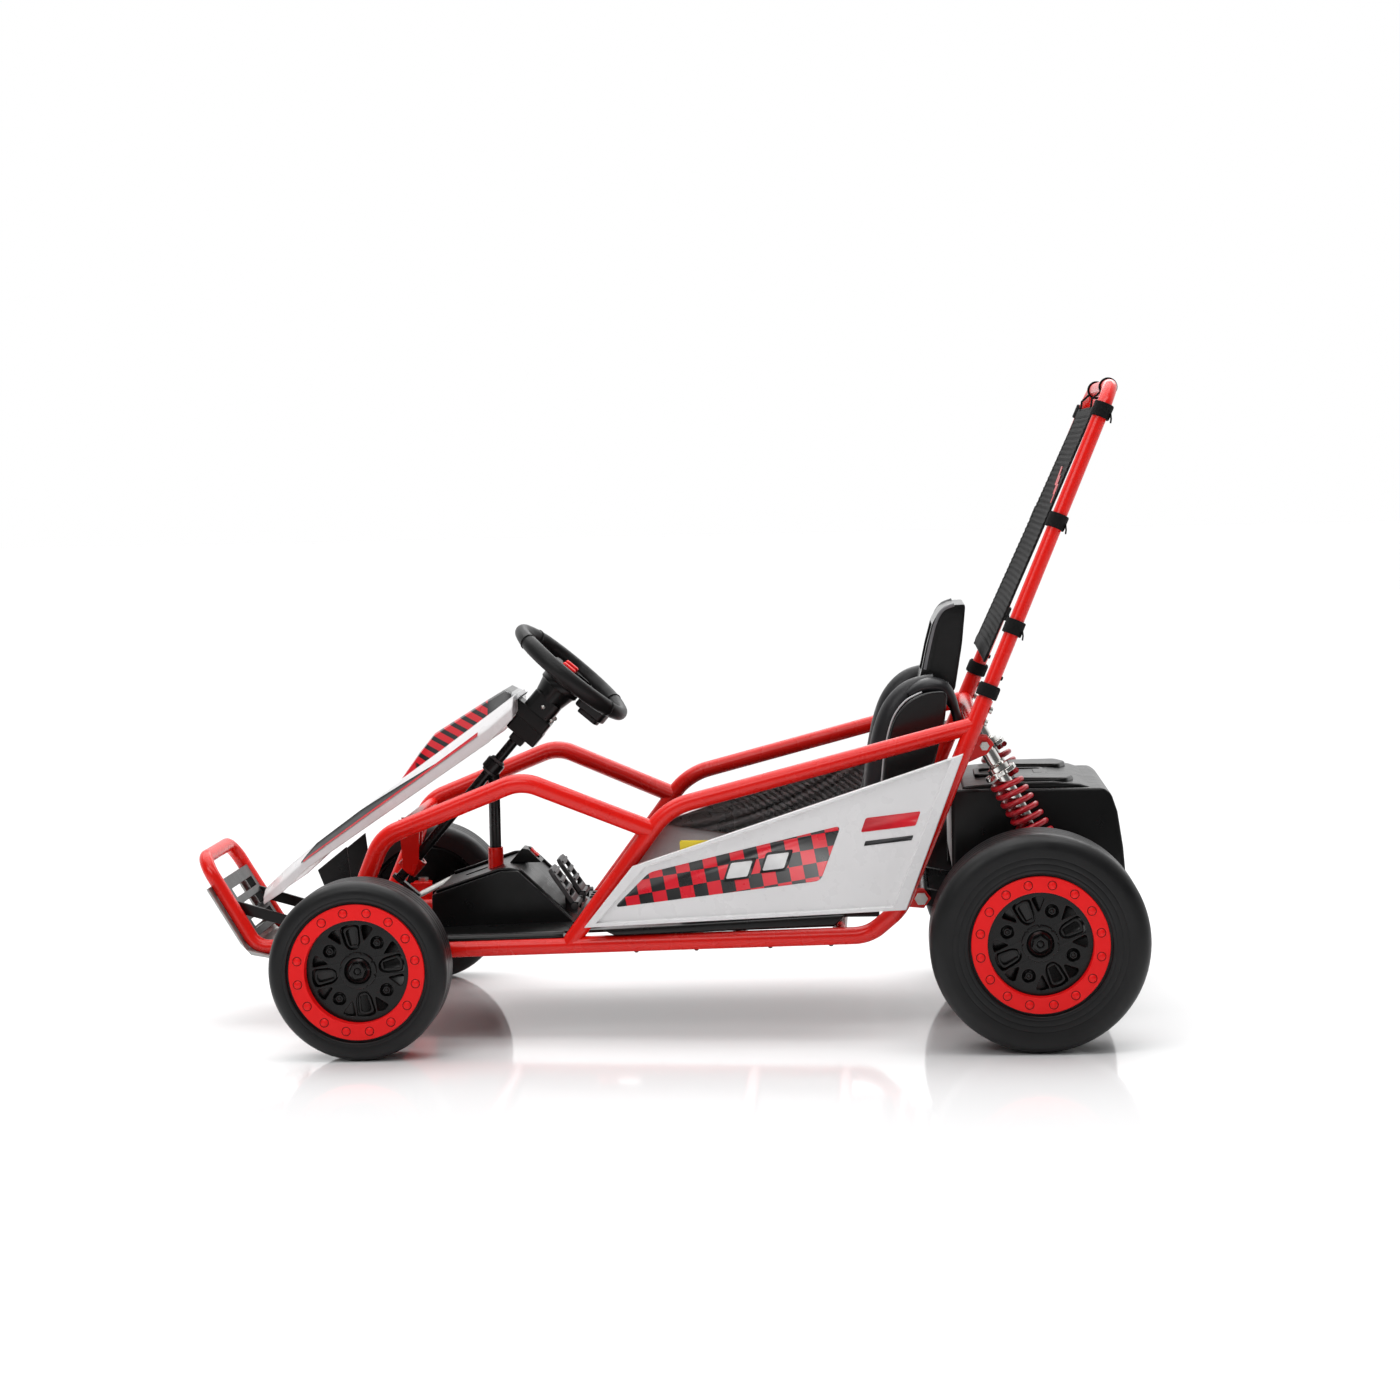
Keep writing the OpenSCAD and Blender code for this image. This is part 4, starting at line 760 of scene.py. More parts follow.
def make_wheels():
    seat_r = (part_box("front_left_rim")[1].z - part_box("front_left_rim")[0].z) / 2
    for side, word in ((-1, "left"), (1, "right")):
        body = f"front_{word}_wheel"
        nodes_here = (f"front_{word}_tyre", f"front_{word}_rim", f"front_{word}_bead_ring")
        tyre(f"tyre_front_{word}", body, nodes_here[0], side, seat_r)
        rim(f"rim_front_{word}", body, nodes_here[1], nodes_here[0], side, 10, seat_r)
        bead_ring(f"bead_ring_front_{word}", body, nodes_here[2], nodes_here[0], side)
        tyre(f"tyre_rear_{word}", "rear_axle_set", "rear_tyres", side, seat_r)
        rim(f"rim_rear_{word}", "rear_axle_set", "rear_rims", "rear_tyres", side, 25, seat_r)
        bead_ring(f"bead_ring_rear_{word}", "rear_axle_set", "rear_bead_rings", "rear_tyres", side)


# ---- steering wheel and hub ----
steer = joints["steering_turn"]
wheel_centre = Vector(steer["pos_m"])
column_up = Vector(steer["axis"]).normalized()
column_across = Vector((column_up.z, 0, -column_up.x))
column_frame = Matrix((
    (column_across.x, 0, column_up.x, wheel_centre.x),
    (0, 1, 0, 0),
    (column_across.z, 0, column_up.z, wheel_centre.z),
    (0, 0, 0, 1)))


def grip_rim():
    """The rim swells at the hands, with finger waves on its inner side."""
    low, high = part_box("steering_wheel")
    thick = 13.5 * mm
    middle = (high.y - low.y) / 2 + 3 * mm - thick
    shape = Shape()
    around, across = 160, 20
    points = []
    for i in range(around):
        a = 2 * math.pi * i / around
        hand = max(0.0, abs(math.sin(a)) - 0.35) / 0.65
        swell = 0.86 + 0.14 * min(1, hand * 1.6)
        for k in range(across):
            b = 2 * math.pi * k / across
            fingers = 0.35 * mm * math.cos(22 * a) * max(0, -math.cos(b)) * hand
            r = thick * swell + fingers - 0.4 * mm
            reach = middle + 0.92 * r * math.cos(b)
            points.append((reach * math.cos(a), reach * math.sin(a), r * math.sin(b)))
    faces = [[i * across + k, ((i + 1) % around) * across + k,
              ((i + 1) % around) * across + (k + 1) % across, i * across + (k + 1) % across]
             for i in range(around) for k in range(across)]
    shape.add(points, faces, column_frame)
    shape.piece("steering_wheel_rim", "steering", "grip", ("steering_wheel",))
    seams = Shape()
    for a in (38, 142, 218, 322):
        spot = column_frame @ Matrix.Rotation(math.radians(a), 4, "Z") @ Matrix.Translation((middle, 0, 0))
        spot = spot @ Matrix.Rotation(math.pi / 2, 4, "X")
        seams.lathe(arc(thick * 0.93, 0, 0.9 * mm, -180, 170, 8), spot, 32)
    seams.piece("steering_wheel_seams", "steering", "black_plastic")
    return middle


def make_steering_wheel():
    middle = grip_rim()
    shape = Shape()
    for a in (0, 90, -90):
        turn = column_frame @ Matrix.Rotation(math.radians(a), 4, "Z")
        spoke = rounded([(20 * mm, -21 * mm), (48 * mm, -13 * mm), (middle - 6 * mm, -17 * mm),
                         (middle - 6 * mm, 17 * mm), (48 * mm, 13 * mm), (20 * mm, 21 * mm)], 8 * mm)
        shape.add(*plate(spoke, [], 11 * mm, 2.5 * mm, turn @ Matrix.Translation((0, 0, -2 * mm))))
        ribs = rounded([(50 * mm, -4 * mm), (76 * mm, -5 * mm), (76 * mm, 5 * mm), (50 * mm, 4 * mm)],
                       3 * mm)
        shape.add(*plate(ribs, [], 4 * mm, 1.2 * mm, turn @ Matrix.Translation((0, 0, 0))))
    hub = rounded([(-34 * mm, -30 * mm), (26 * mm, -38 * mm), (40 * mm, -22 * mm), (40 * mm, 22 * mm),
                   (26 * mm, 38 * mm), (-34 * mm, 30 * mm)], 12 * mm)
    holes = [rounded_box(-20 * mm, s * 23 * mm - 9 * mm, 8 * mm, s * 23 * mm + 9 * mm, 8 * mm)
             for s in (-1, 1)]
    shape.add(*plate(hub, holes, 18 * mm, 3 * mm, column_frame @ Matrix.Translation((0, 0, 2 * mm))))
    shape.add(*plate(hub, [], 6 * mm, 1 * mm, column_frame @ Matrix.Translation((0, 0, -10 * mm))))
    deep = rounded([(36 * mm, -28 * mm), (84 * mm, -24 * mm), (91 * mm, 0), (84 * mm, 24 * mm),
                    (36 * mm, 28 * mm)], 7 * mm)
    shape.add(*plate(deep, [], 24 * mm, 3 * mm, column_frame @ Matrix.Translation((0, 0, -8 * mm))))
    inner = turned([(x * 0.72, y * 0.75) for x, y in deep], 0, (20 * mm, 0))
    shape.add(*plate(inner, [], 12 * mm, 2 * mm, column_frame @ Matrix.Translation((0, 0, -27 * mm))))
    shape.piece("steering_wheel_centre", "steering", "black_plastic", angle=40)
    for side, word in ((-1, "left"), (1, "right")):
        button = Shape()
        oval = rounded_box(-18 * mm, side * 23 * mm - 7 * mm, 6 * mm, side * 23 * mm + 7 * mm, 6.5 * mm)
        button.add(*plate(oval, [], 14 * mm, 2.4 * mm, column_frame @ Matrix.Translation((0, 0, 8.5 * mm))))
        button.piece(f"{word}_button_cap", f"{word}_button", "red_plastic", (f"{word}_button",), angle=40)


def screw(shape, place, radius=4 * mm):
    """A round head with a cross slot's ring, standing on place."""
    shape.lathe([(0, 0.9 * mm), (radius * 0.45, 0.9 * mm), (radius * 0.5, 1.9 * mm),
                 (radius * 0.85, 1.5 * mm),
                 (radius, 0.4 * mm), (radius, -1 * mm)], place, 20, closed=False)


def band_line(inner, outer, half, step_in, step_down):
    """The outline of a bevelled band round a tube, in millimetres, for a lathe."""
    corners = [(inner, -half), (outer - step_in, -half), (outer, step_down - half),
               (outer, half - step_down), (outer - step_in, half), (inner, half)]
    return [(r * mm, z * mm) for r, z in corners]


def aimed(spot, way):
    """A place at spot whose Z axis points along way."""
    return Matrix.Translation(spot) @ way.to_track_quat("Z", "Y").to_matrix().to_4x4()


def make_column_mounts():
    """Slim collars where the column turns, on a post and on the front beam."""
    post_mount, beam_mount = 0.192, 0.393
    collars, post = Shape(), Shape()
    for t in (post_mount, beam_mount):
        collars.lathe(band_line(8.3, 12, 13, 0.8, 1), column_frame @ Matrix.Translation((0, 0, -t)), 40)
    collars.piece("column_collars", "frame", "nylon", ("column_bushes",), angle=50)
    low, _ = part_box("support_post")
    x = wheel_centre.x - post_mount * column_up.x
    top = wheel_centre.z - post_mount * column_up.z
    post.lathe([(7.4 * mm, 0), (9 * mm, 0), (9 * mm, top - low.z - 9 * mm),
                (7.4 * mm, top - low.z - 9 * mm)],
               Matrix.Translation((x, 0, low.z)), 32)
    clamp_place = column_frame @ Matrix.Translation((0, 0, -post_mount))
    post.lathe(band_line(12.2, 15.2, 9, 0.8, 1), clamp_place, 40)
    post.piece("column_post", "frame", slot_of["support_post"], ("support_post",), angle=50)


def make_pedals():
    """Slotted plates with a ribbed top, on a round hinge."""
    rest = math.radians(56)
    up = Vector((-math.cos(rest), 0, math.sin(rest)))
    face = Vector((math.sin(rest), 0, math.cos(rest)))
    for name, joint in (("accelerator_pedal", "accelerator_press"), ("brake_pedal", "brake_press")):
        hinge = Vector(joints[joint]["pos_m"])
        low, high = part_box(name)
        half = (high.y - low.y) / 2
        middle = (high.y + low.y) / 2
        place = Matrix(((up.x, 0, face.x, hinge.x), (0, 1, 0, middle), (up.z, 0, face.z, hinge.z),
                        (0, 0, 0, 1)))
        outline = rounded([(3 * mm, -half), (58 * mm, -half), (68 * mm, -half + 8 * mm),
                           (68 * mm, half - 8 * mm),
                           (58 * mm, half), (3 * mm, half)], 5 * mm)
        slots = [rounded_box(x, -half + 8 * mm, x + 8 * mm, half - 8 * mm, 3.5 * mm) for x in (14 * mm,
                                                                                               30 * mm,
                                                                                               46 * mm)]
        shape = Shape()
        shape.add(*plate(outline, slots, 7 * mm, 1.4 * mm, place @ Matrix.Translation((0, 0, 3.5 * mm))))
        for x in (25 * mm, 41 * mm, 58 * mm):
            bar = rounded_box(x, -half + 5 * mm, x + 4 * mm, half - 5 * mm, 1.8 * mm)
            shape.add(*plate(bar, [], 3 * mm, 0.9 * mm, place @ Matrix.Translation((0, 0, 5.6 * mm))))
        turn = Matrix(((1, 0, 0, hinge.x), (0, 0, -1, middle + half), (0, 1, 0, hinge.z), (0, 0, 0, 1)))
        shape.lathe([(0, 0), (5 * mm, 0), (6 * mm, 1 * mm), (6 * mm, 2 * half - 1 * mm), (5 * mm, 2 * half),
                     (0, 2 * half)], turn, 28, closed=False)
        shape.piece(name + "_plate", name, "silver_plastic", (name,), angle=50, material=grey_pedal)


def make_hub():
    """A ribbed cone, a neck with screws and a stepped block under the steering wheel."""
    shape = Shape()
    cone = [(0, -12 * mm), (33 * mm, -12 * mm), (37 * mm, -16 * mm), (36 * mm, -22 * mm),
            (33 * mm, -24 * mm),
            (33 * mm, -31 * mm), (30 * mm, -34 * mm), (25 * mm, -55 * mm), (23 * mm, -58.5 * mm),
            (0, -58.5 * mm)]
    shape.lathe(cone, column_frame, 64, closed=False)
    neck = rounded_box(-25 * mm, -24 * mm, 25 * mm, 24 * mm, 12 * mm)
    shape.add(*plate(neck, [], 34 * mm, 2.5 * mm, column_frame @ Matrix.Translation((0, 0, -52 * mm))))
    block = rounded_box(-39 * mm, -25 * mm, 29 * mm, 25 * mm, 6 * mm)
    shape.add(*plate(block, [], 22 * mm, 2.4 * mm, column_frame @ Matrix.Translation((0, 0, -82 * mm))))
    step = rounded_box(-24 * mm, -23 * mm, 30 * mm, 23 * mm, 5 * mm)
    shape.add(*plate(step, [], 26 * mm, 2 * mm, column_frame @ Matrix.Translation((0, 0, -102 * mm))))
    jaw = rounded_box(-40 * mm, -22 * mm, -28 * mm, 22 * mm, 4 * mm)
    shape.add(*plate(jaw, [], 14 * mm, 2 * mm, column_frame @ Matrix.Translation((0, 0, -101 * mm))))
    foot = rounded_box(-10 * mm, -18 * mm, 14 * mm, 18 * mm, 4 * mm)
    shape.add(*plate(foot, [], 14 * mm, 1.6 * mm, column_frame @ Matrix.Translation((0, 0, -126 * mm))))
    shape.piece("steering_hub_shell", "steering", slot_of["steering_hub"], ("steering_hub",), angle=40)
    heads = Shape()
    for side in (-1, 1):
        for x, z in ((2 * mm, -68 * mm), (26 * mm, -76 * mm)):
            out = Matrix(((1, 0, 0, x), (0, 0, side, side * 23.8 * mm), (0, -side, 0, z), (0, 0, 0, 1)))
            screw(heads, column_frame @ out, 3.6 * mm)
    heads.piece("steering_hub_screws", "steering", "zinc_fasteners", angle=50)


# ---- frame: small fittings ----
front_axle_x = joints["front_left_wheel_spin"]["pos_m"][0]
rear_axle_x, _, rear_axle_z = joints["rear_axle_spin"]["pos_m"]
hoop_top = Vector(mounts["hoop_top_bar"]["pos_m"])
hoop_lean = math.radians(23.1)
hoop_foot = Vector((rear_axle_x - 0.200, 0.285, 0.198))
hoop_top_y = 0.205
tube_r = 12.7 * mm
rail_front = Vector((front_axle_x - 0.044, 0.228, 0.134))
rail_rear = Vector((rear_axle_x - 0.246, 0.268, 0.134 + 0.029 * (rear_axle_x - 0.246 - rail_front.x)))


def leg(z, side=1):
    """The middle of the roll hoop's leg at a height."""
    share = (z - hoop_foot.z) / (hoop_top.z - hoop_foot.z)
    return Vector((hoop_foot.x + math.tan(hoop_lean) * (z - hoop_foot.z),
                   side * (hoop_foot.y + (hoop_top_y - hoop_foot.y) * share), z))


def on_rail(x, up=0.0, side=1):
    share = (x - rail_front.x) / (rail_rear.x - rail_front.x)
    p = rail_front.lerp(rail_rear, share)
    return Vector((p.x, side * p.y, p.z + up))


rail_foot = on_rail(front_axle_x + 0.294)


def make_small_fittings():
    """Plugs and screw heads along the tubes."""
    dark = Shape()
    for side in (-1, 1):
        for z in (0.536, 0.466):
            spot = leg(z, side) + Vector((11.5 * mm * math.cos(hoop_lean), 0,
                                          -11.5 * mm * math.sin(hoop_lean)))
            out = Vector((math.cos(hoop_lean), 0, -math.sin(hoop_lean)))
            screw(dark, aimed(spot, out), 3.4 * mm)
        for x in (-0.03, 0.06, 0.17, 0.26):
            place = Matrix.Translation(on_rail(x, -tube_r, side)) @ Matrix.Rotation(math.pi, 4, "X")
            screw(dark, place, 3.2 * mm)
    dark.piece("frame_plugs", "frame", "black_plastic", angle=50)


# ---- body panels ----
def face_plane(node, side):
    """A point and the outward normal of the widest face that looks to one side."""
    faces = {}
    mesh = nodes[node].data
    for polygon in mesh.polygons:
        if polygon.normal.y * side > 0.9:
            key = (round(polygon.normal.x, 2), round(polygon.normal.z, 2),
                   round(polygon.center.dot(polygon.normal), 3))
            area, spot, _ = faces.get(key, (0, Vector(), None))
            faces[key] = (area + polygon.area, spot + polygon.center * polygon.area, polygon.normal.copy())
    area, spot, normal = max(faces.values(), key=lambda f: f[0])
    return spot / area, normal


def on_face(plane, x, z, lift):
    """The place on a side face at that x and z, lifted off it."""
    spot, normal = plane
    y = spot.y - (normal.x * (x - spot.x) + normal.z * (z - spot.z)) / normal.y
    return Vector((x, y, z)) + normal * lift


def decal(name, body, plane, outline, lift, material, thick=0.35 * mm):
    """A thin sticker with its edge on the face."""
    n = len(outline)
    lower = [on_face(plane, x, z, lift - thick) for x, z in outline]
    upper = [on_face(plane, x, z, lift) for x, z in outline]
    shape = Shape()
    shape.add(lower + upper, [list(range(n))[::-1], list(range(n, 2 * n))]
              + [[i, (i + 1) % n, n + (i + 1) % n, n + i] for i in range(n)])
    return shape.piece(name, body, "white_plastic", material=material, angle=30)


def slanted(x, z, width, height, lean=0.35):
    """A slanted bar's four corners, from its lower left one."""
    return [(x, z), (x + width, z + width * 0.12), (x + width + height * lean, z + height + width * 0.12),
            (x + height * lean, z + height)]


def make_side_panels():
    for side, word in ((-1, "left"), (1, "right")):
        node = f"{word}_side_panel"
        soften(node, "frame", 2.6 * mm)
        plane = face_plane(node, side)
        low, _ = side_points(node, side)
        patch = [(low.x + 0.046, low.z + 0.030), (low.x + 0.099, low.z + 0.082),
                 (low.x + 0.383, low.z + 0.150), (low.x + 0.352, low.z + 0.069)]
        decal(f"{word}_checker", "frame", plane, rounded(patch, 9 * mm), 0.4 * mm, checker_ink)
        for i, x in enumerate((0.208, 0.262)):
            edge = slanted(low.x + x, low.z + 0.068 + 0.012 * i, 0.040, 0.031)
            decal(f"{word}_bar_edge_{i}", "frame", plane, rounded(edge, 4 * mm), 0.7 * mm, black_ink)
            bar = slanted(low.x + x + 0.0045, low.z + 0.0720 + 0.012 * i, 0.032, 0.0235)
            decal(f"{word}_bar_{i}", "frame", plane, rounded(bar, 3 * mm), 1.0 * mm, white_ink)
        decal(f"{word}_red_bar", "frame", plane,
              rounded(slanted(low.x + 0.412, low.z + 0.140, 0.080, 0.021), 3 * mm), 0.5 * mm, red_ink)
        decal(f"{word}_thin_bar", "frame", plane,
              rounded(slanted(low.x + 0.416, low.z + 0.120, 0.070, 0.007), 1.5 * mm), 0.5 * mm, black_ink)
        inner = face_plane(node, -side)
        decal(f"{word}_inner_label", "frame", inner,
              rounded([(0.040, 0.255), (0.118, 0.265), (0.118, 0.303), (0.040, 0.303)], 4 * mm), 0.4 * mm,
              yellow_ink)
        decal(f"{word}_inner_label_head", "frame", inner,
              rounded([(0.040, 0.287), (0.118, 0.291), (0.118, 0.303), (0.040, 0.303)], 3 * mm), 0.8 * mm,
              black_ink)


def fairing_edges(x, top, bottom, half, side=-1):
    """The foot of the sloped shoulder and its upper edge, on one side of a cross section."""
    wall = (top - bottom) * 0.52
    slope = min(0.017, half * 0.2)
    return Vector((x, side * half, bottom + wall)), Vector((x, side * (half - slope), top - 1.5 * mm))


def fairing_station(x, top, bottom, half):
    """One cross section of the fairing, as a ring of points from the left edge over the top."""
    foot, shoulder = fairing_edges(x, top, bottom, half)
    inner = half - 9 * mm
    return [(x, -half + 1 * mm, bottom), tuple(foot), tuple(shoulder), (x, -half * 0.5, top),
            (x, 0, top + 1 * mm),
            (x, half * 0.5, top), (x, -shoulder.y, shoulder.z), (x, -foot.y, foot.z),
            (x, half - 1 * mm, bottom),
            (x, inner, bottom + 3 * mm), (x, 0, bottom + 8 * mm), (x, -inner, bottom + 3 * mm)]


def loft(shape, stations):
    n = len(stations[0])
    points = [p for s in stations for p in s]
    faces = [[i * n + k, (i + 1) * n + k, (i + 1) * n + (k + 1) % n, i * n + (k + 1) % n]
             for i in range(len(stations) - 1) for k in range(n)]
    faces += [list(range(n)), [(len(stations) - 1) * n + k for k in range(n)][::-1]]
    shape.add(points, faces)


def make_nose():
    low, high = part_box("nose_fairing")
    reach = high.x - low.x

    def along(share, drop):
        """A point of the fairing's near edge: its share of the length, and its depth below the top line."""
        return low.x + reach * share, low.z + (high.z - low.z) * share * 0.93 + 0.036 - drop
    profile = [(0.00, 0.012, 0.024, 0.083), (0.09, 0.004, 0.034, 0.108), (0.19, 0.0, 0.030, 0.121),
               (0.45, -0.002, 0.036, 0.125), (0.70, -0.002, 0.040, 0.121), (0.88, -0.003, 0.044, 0.105),
               (0.97, -0.004, 0.036, 0.097)]
    stations = []
    for share, sink, thick, half in profile:
        x, top = along(share, sink)
        stations.append(fairing_station(x, top, top - thick, half))
    shape = Shape()
    loft(shape, stations)
    shape.piece("nose_fairing_shell", "frame", "white_plastic", ("nose_fairing",), 2.4 * mm, 30)
    # The raised hood in the middle, in front of the steering wheel
    hood = Shape()
    rings = []
    for share, rise, half in ((0.50, -0.004, 0.050), (0.60, 0.022, 0.058), (0.66, 0.034, 0.060),
                              (0.86, 0.026, 0.056), (0.93, 0.022, 0.054), (0.985, -0.004, 0.048)):
        x, top = along(share, 0.0)
        rings.append([(x, -half - 8 * mm, top - 6 * mm), (x, -half, top + rise - 3 * mm),
                      (x, -half + 8 * mm, top + rise),
                      (x, half - 8 * mm, top + rise), (x, half, top + rise - 3 * mm),
                      (x, half + 8 * mm, top - 6 * mm)])
    loft(hood, rings)
    hood.piece("nose_hood", "frame", "white_plastic", bevel=2 * mm, angle=28,
               material=hood_print(low.x + reach * 0.865, low.x + reach * 0.955))

    def station(share):
        """The cross section's sizes at any share of the length."""
        for first, second in zip(profile, profile[1:]):
            if share <= second[0]:
                t = (share - first[0]) / (second[0] - first[0])
                sink, thick, half = (a + (b - a) * t for a, b in zip(first[1:], second[1:]))
                break
        x, top = along(share, sink)
        return x, top, top - thick, half

    def shoulder_strip(name, material, side, start, end, low_edge, high_edge, lift):
        """A printed strip on the shoulder, between two shares of its width."""
        rows = []
        for k in range(29):
            t = start + (end - start) * k / 28
            foot, shoulder = fairing_edges(*station(t), side)
            slope = shoulder - foot
            normal = Vector((-0.45 * abs(slope.y), side * slope.z, abs(slope.y))).normalized()
            lower = foot + slope * low_edge(t) + normal * lift
            upper = foot + slope * high_edge(t) + normal * lift
            rows.append([lower - normal * 0.5 * mm, lower, upper, upper - normal * 0.5 * mm])
        shape = Shape()
        loft(shape, rows)
        shape.piece(name, "frame", "white_plastic", material=material, angle=50)
    for side, word in ((-1, "left"), (1, "right")):
        shoulder_strip(f"nose_stripe_{word}", black_ink, side, 0.165, 0.70, lambda t: 0.08,
                       lambda t: 0.10 + min(0.86, (t - 0.155) * 13, (0.72 - t) * 2.6), 0.9 * mm)
        shoulder_strip(f"nose_red_line_{word}", red_ink, side, 0.175, 0.84, lambda t: -0.04,
                       lambda t: 0.13 + 0.10 * max(0, (t - 0.55) / 0.3), 1.2 * mm)


def make_floor():
    """The floor's rolled edge over the rails, and raised chevrons where the feet rest."""
    lips = Shape()
    for side in (-1, 1):
        start, end = front_axle_x + 0.075, rail_foot.x - 0.006
        path = [on_rail(start + (end - start) * k / 12, tube_r + 1.5 * mm,
                        side) - Vector((0, side * 5 * mm, 0))
                for k in range(13)]
        lips.pipe(path, 11 * mm, 16, squash=0.62)
    lips.piece("floor_edges", "frame", "black_plastic", angle=60)
    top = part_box("floor_pan")[1].z
    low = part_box("floor_pan")[0].z
    shape = Shape()
    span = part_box("floor_pan")
    slope = (top - low - 4 * mm) / (span[1].x - span[0].x)
    for side in (-1, 1):
        for row in range(5):
            for column in range(3):
                x = rail_foot.x + 0.008 + row * 0.026
                y = side * (0.140 + column * 0.027)
                z = low + 4 * mm + slope * (x - span[0].x)
                lean = 1 if (row + column) % 2 else -1
                bar = [(-11 * mm, -2 * mm), (3 * mm, -2 * mm), (8 * mm, 6 * mm * lean),
                       (11.5 * mm, 6 * mm * lean),
                       (6 * mm, 2.5 * mm), (-11 * mm, 2.5 * mm)]
                shape.add(*plate(bar, [], 2.6 * mm, 0.7 * mm, Matrix.Translation((x, y, z + 2.0 * mm))))
    shape.piece("floor_chevrons", "frame", "black_plastic", angle=40)


def make_footrest():
    """The hump over the pedals' links, with soft edges, a slot and a raised seam round its top."""
    low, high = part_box("footrest")
    half = (high.y - low.y) / 2
    base = low.z
    peak = 0.239
    front = low.x
    top_x = front_axle_x + 0.180
    outline = [(front, base), (front + 1 * mm, 0.204), (top_x, peak), (top_x + 0.026, peak),
               (top_x + 0.114, base + 2 * mm), (top_x + 0.112, base)]
    hump = slab_piece("footrest_hump", "frame", "black_plastic", outline, -half, half, 7 * mm,
                      ("footrest",))
    shape = Shape()
    for side in (-1, 1):
        y = side * (half - 13 * mm)
        path = [(front + 6 * mm, y, 0.2075), (top_x - 4 * mm, y, peak + 0.6 * mm),
                (top_x + 0.012, y, peak + 1.2 * mm),
                (top_x + 0.030, y, peak - 2 * mm), (top_x + 0.106, y, base + 9 * mm)]
        shape.pipe([Vector(p) for p in path], 3.2 * mm, 10)
    for y in (-60 * mm, 60 * mm):
        slot = rounded_box(-18 * mm, -4 * mm, 18 * mm, 4 * mm, 3 * mm)
        tilt = Matrix.Translation((top_x - 0.045, y, 0.2335)) @ Matrix.Rotation(math.radians(-19), 4, "Y")
        shape.add(*plate(slot, [circle(1 * mm, 8)], 2 * mm, 0.6 * mm, tilt))
    hinge = Vector(joints["brake_press"]["pos_m"])
    for y in (-hinge.y, hinge.y):
        for e in (-1, 1):
            lug = Shape()
            slab(lug, [(hinge.x - 0.014, 0.197), (hinge.x - 0.006, 0.188), (hinge.x + 0.006, 0.187),
                       (hinge.x + 0.004, 0.168), (hinge.x - 0.014, 0.176)],
                 y + e * 33 * mm - 3 * mm, y + e * 33 * mm + 3 * mm)
            shape.add(lug.points, lug.faces)
    shape.piece("footrest_details", "frame", "black_plastic", angle=40)
    return hump


